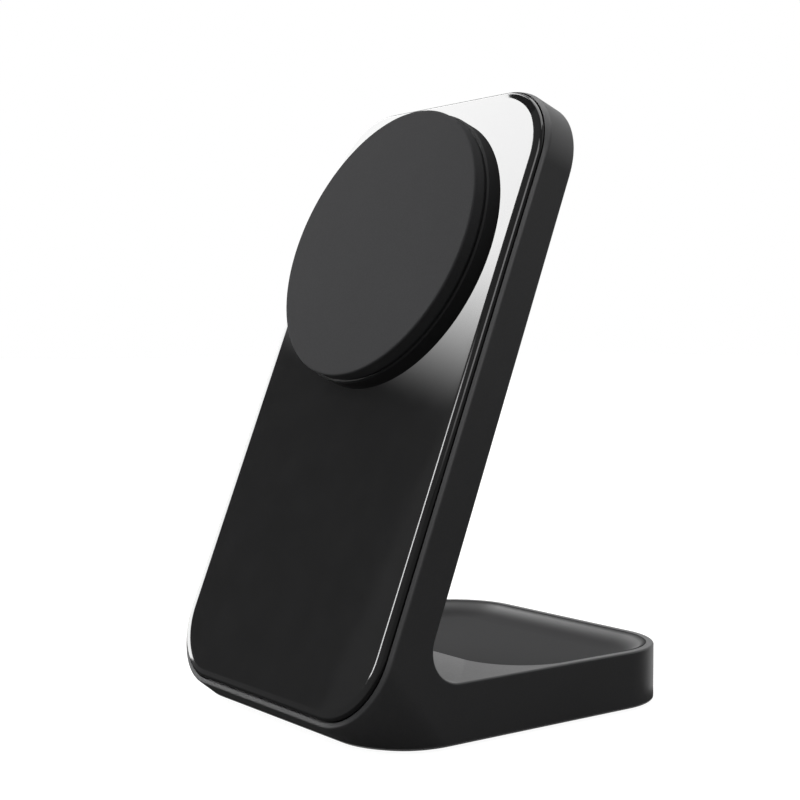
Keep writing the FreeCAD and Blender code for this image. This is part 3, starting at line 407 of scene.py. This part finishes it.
low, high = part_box("foot_pad")
half_turn = Matrix.Translation((0, low.y + high.y, high.z)) @ Matrix.Rotation(math.pi, 4, "X")
flat_low = Vector((low.x, low.y, 0))
flat_high = Vector((high.x, high.y, high.z - low.z))
foot = rounded_plate("soft_foot", flat_low, flat_high, FOOT_REAR_CORNER, FOOT_FRONT_CORNER)
raised(flat_high.z - FOOT_EDGE)
for step in range(FOOT_EDGE_STEPS):
    before = math.pi / 2 * step / FOOT_EDGE_STEPS
    after = math.pi / 2 * (step + 1) / FOOT_EDGE_STEPS
    inwards = FOOT_EDGE * (math.cos(before) - math.cos(after))
    rise = FOOT_EDGE * (math.sin(after) - math.sin(before))
    step_in(inwards, rise)
step_in(FLAT_BORDER, 0)
finished(foot, "foot_pad", half_turn)

# %% [markdown]
# ## The moulded housing
# The L-shaped body was moulded in one shot, with a blended foot front and a hollow inside, and the
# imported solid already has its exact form. Its mesh is loose flat triangles, which would show as facets
# on the round corners. So a copy is merged here, and later its flat faces are joined up and its corners
# are smoothed. Drawing the body again would only risk a body that no longer fits its insides.

# %% Housing
housing = bpy.data.objects.new("moulded_housing", frame["nodes"]["housing"].data.copy())
bpy.context.scene.collection.objects.link(housing)
bpy.ops.object.select_all(action="DESELECT")
housing.select_set(True)
bpy.context.view_layer.objects.active = housing
housing.data.materials.clear()
bpy.ops.object.mode_set(mode="EDIT")
bpy.ops.mesh.select_all(action="SELECT")
bpy.ops.mesh.remove_doubles(threshold=MERGE_DISTANCE)
bpy.ops.object.mode_set(mode="OBJECT")
print("the housing's copy has", len(housing.data.vertices), "points")

# %% [markdown]
# ## The falling rim
# The narrow rim round the panel isn't quite flat: it falls away to the outside, most at the top and
# hardly at all below. So from the front right its left side hides behind the panel, and its right side
# catches light. A bevel would cut every side alike, so the rim's points are moved one by one, by a rule
# that knows which side they are on. The rim's own border stays sharp, which keeps its shading flat.

# %% Rule of the rim
PANEL_GAP = 0.25 * MM
SIDE_FALL = 0.38
TOP_FALL = 1.8
LOW_FALL = 0.06


def fall_of_rim(point, low, high):
    """How far a point of the front rim falls back, from its place outside the panel's recess."""
    radius = PANEL_GAP + (PANEL_LOW_CORNER if point.y < 0 else PANEL_HIGH_CORNER)
    core = Vector((
        min(max(point.x, low.x + radius), high.x - radius),
        min(max(point.y, low.y + radius), high.y - radius),
    ))
    way_out = point.xy - core
    outside = way_out.length - radius
    if outside < MERGE_DISTANCE:
        return 0
    way_out.normalize()
    steepness = SIDE_FALL * way_out.x ** 2
    steepness += TOP_FALL * max(0, way_out.y)
    steepness += LOW_FALL * max(0, -way_out.y)
    return outside * steepness


# %% Rim of the housing
FLAT_ANGLE = math.radians(0.05)
RIM_ROUND = 0.31 * MM

to_pad = pad_frame.inverted()
rim_height = measured("housing", pad_frame)[1].z
pick_points(housing, lambda point: (to_pad @ point).z > rim_height - MERGE_DISTANCE)
bpy.ops.mesh.select_mode(type="FACE")
bpy.ops.mesh.region_to_loop()
bpy.ops.mesh.mark_sharp()
bpy.ops.mesh.select_all(action="SELECT")
bpy.ops.object.mode_set(mode="OBJECT")
low, high = measured("front_panel", pad_frame)
gap = Vector((PANEL_GAP, PANEL_GAP, 0))
for vertex in housing.data.vertices:
    point = to_pad @ vertex.co
    if point.z > rim_height - RIM_ROUND:
        vertex.co -= pad_out * fall_of_rim(point, low - gap, high + gap)
bpy.ops.object.mode_set(mode="EDIT")
bpy.ops.mesh.dissolve_limited(angle_limit=FLAT_ANGLE)
bpy.ops.object.mode_set(mode="OBJECT")
stand_for(housing, "housing")

# %% [markdown]
# ## Node helpers
# Every material here is made of nodes. Some short helpers add a node and feed its sockets, so that a
# finish reads as a recipe. The nodes could be placed by hand in the shader editor, with the same result.

# %% Node helpers
def feed(tree, socket, value):
    """Links an output to a socket, or sets the socket's own value."""
    if isinstance(value, bpy.types.NodeSocket):
        tree.links.new(value, socket)
    else:
        socket.default_value = value


def add_node(tree, kind, settings=(), **sockets):
    """A node with its settings and its socket values or links."""
    node = tree.nodes.new("ShaderNode" + kind)
    for name, value in dict(settings).items():
        setattr(node, name, value)
    for name, value in sockets.items():
        feed(tree, node.inputs[name.replace("_", " ")], value)
    return node


def reckon(tree, operation, first, second):
    """The sum, the product or the larger of two values, as an output socket."""
    node = add_node(tree, "Math", {"operation": operation})
    feed(tree, node.inputs[0], first)
    feed(tree, node.inputs[1], second)
    return node.outputs[0]


# %% [markdown]
# ## Mixes and groups
# Grained surfaces mix two tones, and an effect that many materials share is kept in a node group. A Mix
# node has sockets of one name for numbers, vectors and colours, so the colour sockets are taken by their
# number. The nodes could be copied into each material, but a group is changed in one place.

# %% Mixes and groups
MIX_AMOUNT = 0
MIX_FIRST = 6
MIX_SECOND = 7
MIX_RESULT = 2


def blend_colour(tree, amount, first, second):
    """A mix of two colours, as an output socket."""
    mix = add_node(tree, "Mix", {"data_type": "RGBA"})
    feed(tree, mix.inputs[MIX_AMOUNT], amount)
    feed(tree, mix.inputs[MIX_FIRST], first)
    feed(tree, mix.inputs[MIX_SECOND], second)
    return mix.outputs[MIX_RESULT]


def new_group(name, inputs, outputs):
    """An empty node group with its sockets, and its input and output nodes."""
    group = bpy.data.node_groups.new(name, "ShaderNodeTree")
    for label, kind in inputs:
        group.interface.new_socket(name=label, in_out="INPUT", socket_type="NodeSocket" + kind)
    for label, kind in outputs:
        group.interface.new_socket(name=label, in_out="OUTPUT", socket_type="NodeSocket" + kind)
    return group, group.nodes.new("NodeGroupInput"), group.nodes.new("NodeGroupOutput")


# %% [markdown]
# ## Moulded grain
# Every plastic and rubber surface here has the same kind of detail: a fine grain from the mould and a
# broader cloudiness. One node group makes both, and each finish gives it two tones, two roughnesses and
# a grain size. An image texture could hold the grain, but noise on Object coordinates has no seams and
# no resolution.

# %% Moulded grain group
BROAD_SHARE = 0.012
FINE_DETAIL = 3.0
BROAD_DETAIL = 4.0
GRAIN_LOW = 0.75
GRAIN_HIGH = 1.25

grain, given, result = new_group(
    "moulded_grain",
    [("Vector", "Vector"), ("Grain", "Float"), ("Dark", "Color"), ("Light", "Color"),
     ("Smooth", "Float"), ("Rough", "Float")],
    [("Color", "Color"), ("Roughness", "Float"), ("Height", "Float")],
)
spot = given.outputs["Vector"]
size = given.outputs["Grain"]
fine = add_node(grain, "TexNoise", Vector=spot, Scale=size, Detail=FINE_DETAIL)
broad_size = reckon(grain, "MULTIPLY", size, BROAD_SHARE)
broad = add_node(grain, "TexNoise", Vector=spot, Scale=broad_size, Detail=BROAD_DETAIL)
both = reckon(grain, "ADD", fine.outputs["Fac"], broad.outputs["Fac"])
spread = add_node(grain, "MapRange", Value=both, From_Min=GRAIN_LOW, From_Max=GRAIN_HIGH)
tone = blend_colour(grain, spread.outputs[0], given.outputs["Dark"], given.outputs["Light"])
rough = add_node(grain, "MapRange", Value=both, From_Min=GRAIN_LOW, From_Max=GRAIN_HIGH,
                 To_Min=given.outputs["Smooth"], To_Max=given.outputs["Rough"])
grain.links.new(tone, result.inputs["Color"])
grain.links.new(rough.outputs[0], result.inputs["Roughness"])
grain.links.new(fine.outputs["Fac"], result.inputs["Height"])
print("group", grain.name, "with", len(grain.nodes), "nodes")

# %% [markdown]
# ## Finishes of the plastics and rubbers
# A finish is a Principled shader fed by the grain: two near tones, a range of roughness and a shallow
# bump. Each could be a material of its own from start to end, but one function keeps them alike.
# Constants such as the specular level stay on the shader's own sockets, where an export can read them.

# %% Grained finish
COOLNESS = 1.03
GRAIN_DEPTH = 0.05 * MM


def grey(value):
    """A neutral colour, a little cooler in blue as black plastics are."""
    return (value, value, value * COOLNESS, 1)


def new_finish(name):
    """A new node material with its tree, its shader and its Object coordinates."""
    finish = bpy.data.materials.new(name)
    finish.use_nodes = True
    tree = finish.node_tree
    return finish, tree, tree.nodes["Principled BSDF"], add_node(tree, "TexCoord").outputs["Object"]


def bumped(tree, shader, height, strength, distance):
    """Feeds a height to the shader's normal through a bump."""
    bump = add_node(tree, "Bump", Strength=strength, Distance=distance, Height=height)
    tree.links.new(bump.outputs["Normal"], shader.inputs["Normal"])


def fed_by_grain(tree, shader, place, bump, depth, **values):
    """Feeds colour, roughness and normal of a shader from the grain group."""
    group = tree.nodes.new("ShaderNodeGroup")
    group.node_tree = grain
    tree.links.new(place, group.inputs["Vector"])
    for name, value in values.items():
        group.inputs[name].default_value = value
    tree.links.new(group.outputs["Color"], shader.inputs["Base Color"])
    tree.links.new(group.outputs["Roughness"], shader.inputs["Roughness"])
    bumped(tree, shader, group.outputs["Height"], bump, depth)


def grained(name, dark, light, smooth, rough, grain_size=2600.0, bump=0.2, specular=0.5):
    """A moulded finish with grain in colour, roughness and height."""
    finish, tree, shader, place = new_finish(name)
    fed_by_grain(tree, shader, place, bump, GRAIN_DEPTH,
                 Grain=grain_size, Dark=dark, Light=light, Smooth=smooth, Rough=rough)
    shader.inputs["Specular IOR Level"].default_value = specular
    return finish


# %% Plastics and rubbers
finishes = {
    "housing": grained("satin_black", grey(0.044), grey(0.052), 0.42, 0.50, specular=0.4),
    "pad_ring": grained("pad_black", grey(0.020), grey(0.026), 0.58, 0.68, specular=0.1),
    "pad_face": grained("soft_touch", grey(0.040), grey(0.050), 0.80, 0.90,
                        grain_size=3400.0, specular=0.05),
    "dish": grained("soft_insert", grey(0.020), grey(0.026), 0.76, 0.86,
                    grain_size=3000.0, specular=0.1),
    "foot": grained("foot_rubber", grey(0.016), grey(0.024), 0.70, 0.85,
                    grain_size=1800.0, bump=0.4, specular=0.3),
    "base_plate": grained("plate_black", grey(0.016), grey(0.022), 0.5, 0.62, specular=0.4),
    "tape": grained("tape_film", grey(0.02), grey(0.03), 0.55, 0.7),
    "lead": grained("lead_sleeve", grey(0.016), grey(0.024), 0.45, 0.6),
    "tongue": grained("tongue_black", grey(0.02), grey(0.028), 0.42, 0.5),
    "chip": grained("chip_epoxy", grey(0.018), grey(0.03), 0.5, 0.65),
    "inductor": grained("inductor_powder", grey(0.06), grey(0.1), 0.55, 0.75, bump=0.4),
    "connector": grained("connector_nylon", (0.62, 0.6, 0.54, 1), (0.7, 0.68, 0.62, 1), 0.4, 0.55),
    "capacitor": grained("capacitor_ceramic", (0.30, 0.20, 0.12, 1), (0.38, 0.27, 0.17, 1), 0.4, 0.55),
    "ferrite": grained("sintered_ferrite", grey(0.045), grey(0.085), 0.55, 0.75,
                       grain_size=1500.0, bump=0.5),
}
print("grained finishes:", ", ".join(finishes))

# %% [markdown]
# ## Smooth walls in the dish
# The dish's floor is dull, but its walls are smoother and shine a little where they rise to the rim. A
# film that sets in with the height gives that: a coat whose weight is nought on the floor and grows up
# the wall. Two materials would work too, but they would leave a hard line where the cove is soft.

# %% Dish film
FILM_WEIGHT = 0.65
FILM_ROUGHNESS = 0.4
FILM_START = 0.15
FILM_FULL = 0.8


def smooth_walls(finish, start, stop):
    """A coat that sets in between two heights and ends at the rim."""
    tree = finish.node_tree
    shader = tree.nodes["Principled BSDF"]
    place = add_node(tree, "SeparateXYZ", Vector=add_node(tree, "TexCoord").outputs["Object"])
    rim = add_node(tree, "MapRange", Value=place.outputs["Z"], From_Min=stop, From_Max=dish_top,
                   To_Min=FILM_WEIGHT, To_Max=0.0)
    film = add_node(tree, "MapRange", {"interpolation_type": "SMOOTHSTEP"}, Value=place.outputs["Z"],
                    From_Min=start, From_Max=stop, To_Max=rim.outputs[0])
    tree.links.new(film.outputs[0], shader.inputs["Coat Weight"])
    shader.inputs["Coat Roughness"].default_value = FILM_ROUGHNESS


dish_floor = dish_top - DISH_DEPTH
smooth_walls(finishes["dish"], dish_floor + FILM_START * DISH_DEPTH, dish_floor + FILM_FULL * DISH_DEPTH)
print("the dish's film starts", round(FILM_START * DISH_DEPTH / MM, 2), "mm above its floor")

# %% [markdown]
# ## The gloss finish
# The panel is nearly a mirror: its look is the soft light and the dark room that it shows. A shader with
# no roughness at all would be simpler, but real gloss plastic has a faint waviness and a few wipe marks,
# so roughness and normal change very slightly over the surface.

# %% Gloss finish
GLOSS_GRAIN = 160.0
GLOSS_BUMP = 0.02
GLOSS_DEPTH = 0.02 * MM
GLOSS_IOR = 1.52


def gloss_black():
    """The panel's deep black, which mirrors the studio."""
    finish, tree, shader, place = new_finish("gloss_black")
    fed_by_grain(tree, shader, place, GLOSS_BUMP, GLOSS_DEPTH,
                 Grain=GLOSS_GRAIN, Dark=grey(0.008), Light=grey(0.010), Smooth=0.03, Rough=0.06)
    shader.inputs["IOR"].default_value = GLOSS_IOR
    return finish


finishes["panel"] = gloss_black()
print("gloss finish:", finishes["panel"].name)

# %% [markdown]
# ## Metals
# The inside holds plated magnets, steel and copper windings. Rolled and drawn metal has fine lines along
# one way. They could be drawn as a wave, but the grain that the plastics use gives finer ones when it is
# stretched along one axis.

# %% Metal finishes
METAL_GRAIN = 900.0
METAL_BUMP = 0.15
METAL_DEPTH = 0.02 * MM
EVEN = (1, 1, 1)
LINES_ALONG_X = (0.08, 1, 1)
LINES_ALONG_Y = (1, 0.08, 1)


def lined_metal(name, dark, light, smooth, rough, stretch):
    """A metal whose fine lines come from noise that is stretched along one axis."""
    finish, tree, shader, place = new_finish(name)
    mapping = add_node(tree, "Mapping", Vector=place, Scale=stretch)
    fed_by_grain(tree, shader, mapping.outputs[0], METAL_BUMP, METAL_DEPTH,
                 Grain=METAL_GRAIN, Dark=dark, Light=light, Smooth=smooth, Rough=rough)
    shader.inputs["Metallic"].default_value = 1.0
    return finish


finishes.update({
    "screws": lined_metal("screw_steel", grey(0.42), grey(0.55), 0.28, 0.4, EVEN),
    "magnets": lined_metal("nickel_plate", (0.56, 0.54, 0.5, 1), (0.66, 0.64, 0.6, 1), 0.18, 0.3, EVEN),
    "yoke": lined_metal("rolled_steel", grey(0.38), grey(0.5), 0.3, 0.45, LINES_ALONG_X),
    "winding": lined_metal("copper_wire", (0.72, 0.33, 0.18, 1), (0.85, 0.45, 0.27, 1), 0.25, 0.4, EVEN),
    "socket": lined_metal("drawn_steel", grey(0.5), grey(0.62), 0.22, 0.36, LINES_ALONG_Y),
    "ballast": lined_metal("zinc_steel", grey(0.42), grey(0.55), 0.35, 0.5, LINES_ALONG_X),
})
print("finishes so far:", len(finishes))

# %% [markdown]
# ## The board
# A circuit board shows copper tracks as slightly raised lines under its green lacquer. Drawn tracks
# would need a plan of the circuit, so a pattern of cells stands for them here: the cells' borders are
# the tracks.

# %% Board finish
BOARD_CELLS = 420.0
TRACK_INNER = 0.06
TRACK_OUTER = 0.1
TRACK_GREEN = (0.02, 0.12, 0.05, 1)
BOARD_GREEN = (0.01, 0.055, 0.028, 1)
TRACK_BUMP = 0.3
TRACK_HEIGHT = 0.03 * MM
BOARD_ROUGHNESS = 0.32


def lacquered_board():
    """Green lacquer over raised copper tracks."""
    finish, tree, shader, place = new_finish("lacquered_board")
    cells = add_node(tree, "TexVoronoi", {"feature": "DISTANCE_TO_EDGE"}, Vector=place, Scale=BOARD_CELLS)
    bare = add_node(tree, "MapRange", Value=cells.outputs["Distance"],
                    From_Min=TRACK_INNER, From_Max=TRACK_OUTER)
    colour = blend_colour(tree, bare.outputs[0], TRACK_GREEN, BOARD_GREEN)
    tree.links.new(colour, shader.inputs["Base Color"])
    bumped(tree, shader, bare.outputs[0], TRACK_BUMP, -TRACK_HEIGHT)
    shader.inputs["Roughness"].default_value = BOARD_ROUGHNESS
    return finish


finishes["board"] = lacquered_board()
print("finishes for", len(finishes), "slots")

# %% [markdown]
# ## Finishes on the pieces
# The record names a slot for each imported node, and each slot has one finish. The pieces that were
# modelled here take the finish of the slot they were given. Setting each by hand would work, but the
# record keeps the names in one place.

# %% Give every piece its finish
slot_of = {part["node"]: part["material_slot"] for part in record["subparts"]}
for name, node in frame["nodes"].items():
    node.material_slots[0].material = finishes[slot_of[name]]
for piece, slot in (
    (front_panel, "panel"), (pad_face, "pad_face"), (pad_ring, "pad_ring"),
    (dish, "dish"), (foot, "foot"), (housing, "housing"),
):
    piece.data.materials.append(finishes[slot])
print("finished", len(slot_of), "nodes")

# %% [markdown]
# ## The studio floor
# The stand is on a white floor. The floor is lit like any surface, so it keeps the stand's shadow, and
# it also glows for the camera and for reflections so that it reads as white. Lamps alone could make it
# white, but they would light the black stand too much.

# %% Floor
FLOOR_SIZE = 8
FLOOR_GLOW = 0.95
FLOOR_DARK = (0.18, 0.18, 0.18, 1)
FLOOR_LIGHT = (0.22, 0.22, 0.22, 1)
FLOOR_GRAIN = 40.0
FLOOR_ROUGHNESS = 0.9
FLOOR_SPECULAR = 0.1
WHITE = (1, 1, 1, 1)


def ray_is(tree, *kinds):
    """One for rays of the named kinds, and nought for all others."""
    path = add_node(tree, "LightPath")
    answer = path.outputs[f"Is {kinds[0]} Ray"]
    for kind in kinds[1:]:
        answer = reckon(tree, "MAXIMUM", answer, path.outputs[f"Is {kind} Ray"])
    return answer


def white_floor():
    """Paper that keeps shadows and looks white."""
    finish, tree, shader, place = new_finish("white_floor")
    paper = add_node(tree, "TexNoise", Vector=place, Scale=FLOOR_GRAIN)
    colour = blend_colour(tree, paper.outputs["Fac"], FLOOR_DARK, FLOOR_LIGHT)
    tree.links.new(colour, shader.inputs["Base Color"])
    shader.inputs["Roughness"].default_value = FLOOR_ROUGHNESS
    shader.inputs["Specular IOR Level"].default_value = FLOOR_SPECULAR
    shader.inputs["Emission Color"].default_value = WHITE
    glow = reckon(tree, "MULTIPLY", ray_is(tree, "Camera", "Glossy", "Transmission"), FLOOR_GLOW)
    tree.links.new(glow, shader.inputs["Emission Strength"])
    return finish


bpy.ops.object.select_all(action="DESELECT")
bpy.ops.mesh.primitive_plane_add(size=FLOOR_SIZE)
floor = bpy.context.object
floor.name = "floor"
floor.data.materials.append(white_floor())
print("floor:", FLOOR_SIZE, "m wide")

# %% [markdown]
# ## The room
# Behind the stand is a white backdrop, and the room on the camera's side is dim. The camera sees the
# world as white. Reflections see it bright on the backdrop's side and dim on the other, and as a light
# it has half that strength. A dome image would be the usual other way, but a few nodes show what is
# bright and what is dark.

# %% Room light
FRONT_ROOM = 0.22
BACKDROP_SIDE = (-0.6, 0.8, 0)
BACKDROP_FULL = 0.75
ROOM_LIGHT = 0.5

world = bpy.data.worlds.new("white_room")
bpy.context.scene.world = world
world.use_nodes = True
room = world.node_tree
way = add_node(room, "VectorMath", {"operation": "DOT_PRODUCT"})
room.links.new(add_node(room, "TexCoord").outputs["Generated"], way.inputs[0])
way.inputs[1].default_value = BACKDROP_SIDE
depth = add_node(room, "MapRange", {"interpolation_type": "SMOOTHSTEP"}, Value=way.outputs["Value"],
                 From_Min=0.0, From_Max=BACKDROP_FULL, To_Min=FRONT_ROOM)
share = add_node(room, "MapRange", Value=ray_is(room, "Glossy", "Transmission"), To_Min=ROOM_LIGHT)
unseen = reckon(room, "MULTIPLY", depth.outputs[0], share.outputs[0])
strength = add_node(room, "MapRange", Value=ray_is(room, "Camera"), To_Min=unseen)
background = room.nodes["Background"]
background.inputs["Color"].default_value = WHITE
room.links.new(strength.outputs[0], background.inputs["Strength"])
print("room:", world.name, "with", len(room.nodes), "nodes")

# %% [markdown]
# ## Places of light cards
# A mirror-like panel looks like what stands opposite it, so the studio has cards for it to show. Their
# directions are given in degrees, as the pad sees them: a turn from straight ahead and a rise above the
# floor. Places in metres would work too, but a direction tells where on the panel a card shows.

# %% Places of cards
CARD_DISTANCE = 2.5


def away(turn, rise):
    """Direction with a turn from the front and a rise above the floor, in degrees."""
    turn, rise = math.radians(turn), math.radians(rise)
    return Vector((math.sin(turn) * math.cos(rise), -math.cos(turn) * math.cos(rise), math.sin(rise)))


def facing_pad(turn, rise, roll):
    """Frame of a card that faces the pad, with X across and Y up the card."""
    direction = away(turn, rise)
    place = direction.to_track_quat("-Z", "Y").to_matrix() @ Matrix.Rotation(math.radians(roll), 3, "Z")
    place = place.to_4x4()
    place.translation = pad_frame.translation + direction * CARD_DISTANCE
    return place


def on_card(place, turn, rise):
    """Where a direction from the pad meets a card, across and up."""
    local = place.to_3x3().transposed() @ away(turn, rise)
    return CARD_DISTANCE * local.xy / -local.z


# %% [markdown]
# ## Cards and their glow
# A card is a plane that the camera can't see, with a light-giving material. Its glow may fade across or
# up the card, by the card's own Object coordinates. Lamps could light the panel as well, but an area
# lamp can't fade towards one corner.

# %% Card helpers
def card(name, place, near, far, low, high, finish):
    """A card between two distances across and two distances up."""
    bpy.ops.object.select_all(action="DESELECT")
    bpy.ops.mesh.primitive_plane_add(size=1, location=((near + far) / 2, (low + high) / 2, 0))
    made = bpy.context.object
    made.name = name
    made.scale = (far - near, high - low, 1)
    bpy.ops.object.transform_apply(location=True, scale=True)
    made.matrix_world = place
    made.data.materials.append(finish)
    made.visible_camera = False
    print(name, "is", round(far - near, 2), "m by", round(high - low, 2), "m")
    return made


def new_glow(name):
    """A light-giving material and its glow."""
    finish = bpy.data.materials.new(name)
    finish.use_nodes = True
    tree = finish.node_tree
    tree.nodes.remove(tree.nodes["Principled BSDF"])
    glow = add_node(tree, "Emission")
    tree.links.new(glow.outputs[0], tree.nodes["Material Output"].inputs["Surface"])
    return finish, glow


def across_and_up(tree):
    """Outputs that say how far across and how far up the card a point lies."""
    place = add_node(tree, "SeparateXYZ", Vector=add_node(tree, "TexCoord").outputs["Object"])
    return place.outputs["X"], place.outputs["Y"]


def fade(tree, value, start, stop, least=0.0):
    """A soft step up to one."""
    step = add_node(tree, "MapRange", {"interpolation_type": "SMOOTHSTEP"}, Value=value,
                    From_Min=start, From_Max=stop, To_Min=least)
    return step.outputs[0]


# %% [markdown]
# ## The bright card
# To the left stands a tall bright card whose lower near corner fades to black. The fade is the grey
# sweep across the panel, and the black corner is the panel's dark lower half. A plain white card with a
# black one before it would give a hard line where the photograph has a soft sweep.

# %% Bright card
CARD_MIDDLE = (-77.0, 26.0)
CARD_ROLL = -21.0
CARD_NEAR = (-58.5, 28.0)
CARD_FAR = (-100.0, 20.0)
CARD_LOW = (-66.0, 1.0)
CARD_HIGH = (-75.0, 55.0)
SWEEP_START = (-60.0, 21.3)
SWEEP_STOP = (-60.0, 30.0)
SIDE_START = (-66.0, 13.0)
SIDE_STOP = (-67.5, 13.0)
LEVEL_STOP = (-76.0, 25.0)
NEAR_LIGHT = 12.2
FAR_LIGHT = 7.4
LEAST_LIGHT = 0.012

bright_place = facing_pad(*CARD_MIDDLE, CARD_ROLL)
near = on_card(bright_place, *CARD_NEAR).x
far = on_card(bright_place, *CARD_FAR).x
low = on_card(bright_place, *CARD_LOW).y
high = on_card(bright_place, *CARD_HIGH).y
sweep_start = on_card(bright_place, *SWEEP_START).y
sweep_stop = on_card(bright_place, *SWEEP_STOP).y
side_start = on_card(bright_place, *SIDE_START).x
side_stop = on_card(bright_place, *SIDE_STOP).x
level_stop = on_card(bright_place, *LEVEL_STOP).x
finish, glow = new_glow("bright_card")
tree = finish.node_tree
across, up = across_and_up(tree)
sweep = fade(tree, up, sweep_start, sweep_stop, LEAST_LIGHT)
side = fade(tree, across, side_start, side_stop)
lit = reckon(tree, "MAXIMUM", sweep, side)
level = add_node(tree, "MapRange", Value=across, From_Min=near, From_Max=level_stop,
                 To_Min=NEAR_LIGHT, To_Max=FAR_LIGHT)
tree.links.new(reckon(tree, "MULTIPLY", lit, level.outputs[0]), glow.inputs["Strength"])
card("bright_card", bright_place, near, far, low, high, finish)

# %% [markdown]
# ## The strip
# A narrow strip beside the bright card draws the thin line along the panel's right edge. The bright card
# could be wider instead, but then a broad part of the panel's dark border would light up.

# %% Strip
STRIP_NEAR = (-49.1, 21.6)
STRIP_FAR = (-51.9, 21.6)
STRIP_FADE = (-54.0, 21.0)
STRIP_TOP = (-54.0, 28.0)
STRIP_LOW = (-60.0, 8.5)
STRIP_LIGHT = 13.0

near = on_card(bright_place, *STRIP_NEAR).x
far = on_card(bright_place, *STRIP_FAR).x
low = on_card(bright_place, *STRIP_LOW).y
high = on_card(bright_place, *STRIP_TOP).y
full = on_card(bright_place, *STRIP_FADE).y
finish, glow = new_glow("strip_card")
tree = finish.node_tree
up = across_and_up(tree)[1]
shade = fade(tree, up, high, full)
tree.links.new(reckon(tree, "MULTIPLY", shade, STRIP_LIGHT), glow.inputs["Strength"])
card("strip_card", bright_place, near, far, low, high, finish)

# %% [markdown]
# ## The front card
# A wide card in front and above lights the pad's face and the rim. Its lower part fades out, because a
# hard edge would show as a line on the panel from other sides. A lamp in its place would be mirrored as
# a square.

# %% Front card
FRONT_MIDDLE = (5.0, 40.0)
FRONT_ROLL = 0.0
FRONT_HALF_TURN = 25.0
FRONT_HALF_RISE = 13.0
FRONT_FULL = 0.4
FRONT_LIGHT = 3.4

front_place = facing_pad(*FRONT_MIDDLE, FRONT_ROLL)
half_across = CARD_DISTANCE * math.tan(math.radians(FRONT_HALF_TURN))
half_up = CARD_DISTANCE * math.tan(math.radians(FRONT_HALF_RISE))
finish, glow = new_glow("front_card")
tree = finish.node_tree
up = across_and_up(tree)[1]
shade = fade(tree, up, -half_up, -FRONT_FULL * half_up)
tree.links.new(reckon(tree, "MULTIPLY", shade, FRONT_LIGHT), glow.inputs["Strength"])
card("front_card", front_place, -half_across, half_across, -half_up, half_up, finish)

# %% [markdown]
# ## Dark flags
# On a white floor the stand's side would turn grey, because satin plastic shows some of the floor. The
# photograph's side is dark, as it is when dark cards lie beside the stand. Two flags just above the
# floor do the same: one covers all that is in front of the stand's rear edge, and one the right side
# behind it. Only reflections see them, so the floor keeps its white and its shadow. A third, small flag
# hangs before the bright card, so that the panel's border stays dark round its upper right corner. A
# darker floor would be simpler, but then it would no longer be white.

# %% Flags
FLAG_REACH = 4.0
FLAG_HEIGHT = 1 * MM
FLAG_LIGHT = 0.06
CORNER_START = (-0.43, 0.465, 20 * MM)
CORNER_LEAN = math.radians(32)
CORNER_BELOW = 0.35
CORNER_ABOVE = 0.2
CORNER_WIDTH = 0.9

flat = Matrix.Translation((0, 0, FLAG_HEIGHT))
leaning = bright_place @ Matrix.Translation(CORNER_START) @ Matrix.Rotation(CORNER_LEAN, 4, "Z")
right_edge = cad_box[1].x
rear_edge = cad_box[1].y
finish, glow = new_glow("dark_flag")
glow.inputs["Strength"].default_value = FLAG_LIGHT
flags = [
    card("front_flag", flat, -FLAG_REACH, FLAG_REACH, -FLAG_REACH, rear_edge, finish),
    card("side_flag", flat, right_edge, FLAG_REACH, rear_edge, FLAG_REACH, finish),
    card("corner_flag", leaning, -CORNER_BELOW, CORNER_ABOVE, 0, CORNER_WIDTH, finish),
]
for flag in flags:
    flag.visible_diffuse = False
    flag.visible_shadow = False

# %% [markdown]
# ## Two soft lamps
# A lamp overhead lights the base and the top of the upright, and a weak one behind keeps the back from
# going black. The world could be made brighter instead, but then the panel and the side would turn grey.

# %% Lamps
LAMP_TARGET = Vector((0, 0, 0.05))
TOP_LAMP_PLACE = Vector((0, 0.15, 0.75))
TOP_LAMP_SIZE = 0.6
TOP_LAMP_POWER = 3.0
BACK_LAMP_PLACE = Vector((0.5, 0.55, 0.6))
BACK_LAMP_SIZE = 0.5
BACK_LAMP_POWER = 0.5


def soft_lamp(name, place, size, power):
    """A square soft light that looks at the stand."""
    bpy.ops.object.light_add(type="AREA", location=place)
    lamp = bpy.context.object
    lamp.name = name
    lamp.data.size = size
    lamp.data.energy = power
    lamp.rotation_euler = (LAMP_TARGET - place).to_track_quat("-Z", "Y").to_euler()
    lamp.visible_camera = False
    print(name, "gives", power, "W")


soft_lamp("top_lamp", TOP_LAMP_PLACE, TOP_LAMP_SIZE, TOP_LAMP_POWER)
soft_lamp("back_lamp", BACK_LAMP_PLACE, BACK_LAMP_SIZE, BACK_LAMP_POWER)

# %% [markdown]
# ## A clean mirror
# In the photograph the panel shows only the light cards, right up to the pad. So the pad's pieces are
# left out of reflections, while they still cast their shadows and are lit as before. The cards could be
# moved until the pad's own reflection is hidden, but then the sweep across the panel would move too.

# %% Pad left out of reflections
pad_pieces = [pad_face, pad_ring]
for name in ("pad_screws", "magnet_ring", "magnet_yoke", "phone_coil", "phone_ferrite", "phone_coil_lead"):
    pad_pieces.append(frame["nodes"][name])
for piece in pad_pieces:
    piece.visible_glossy = False
print("left out of reflections:", len(pad_pieces), "pieces")

# %% [markdown]
# ## Colour
# The Standard view keeps white white, where a film-like view would turn it grey.

bpy.context.scene.view_settings.view_transform = "Standard"
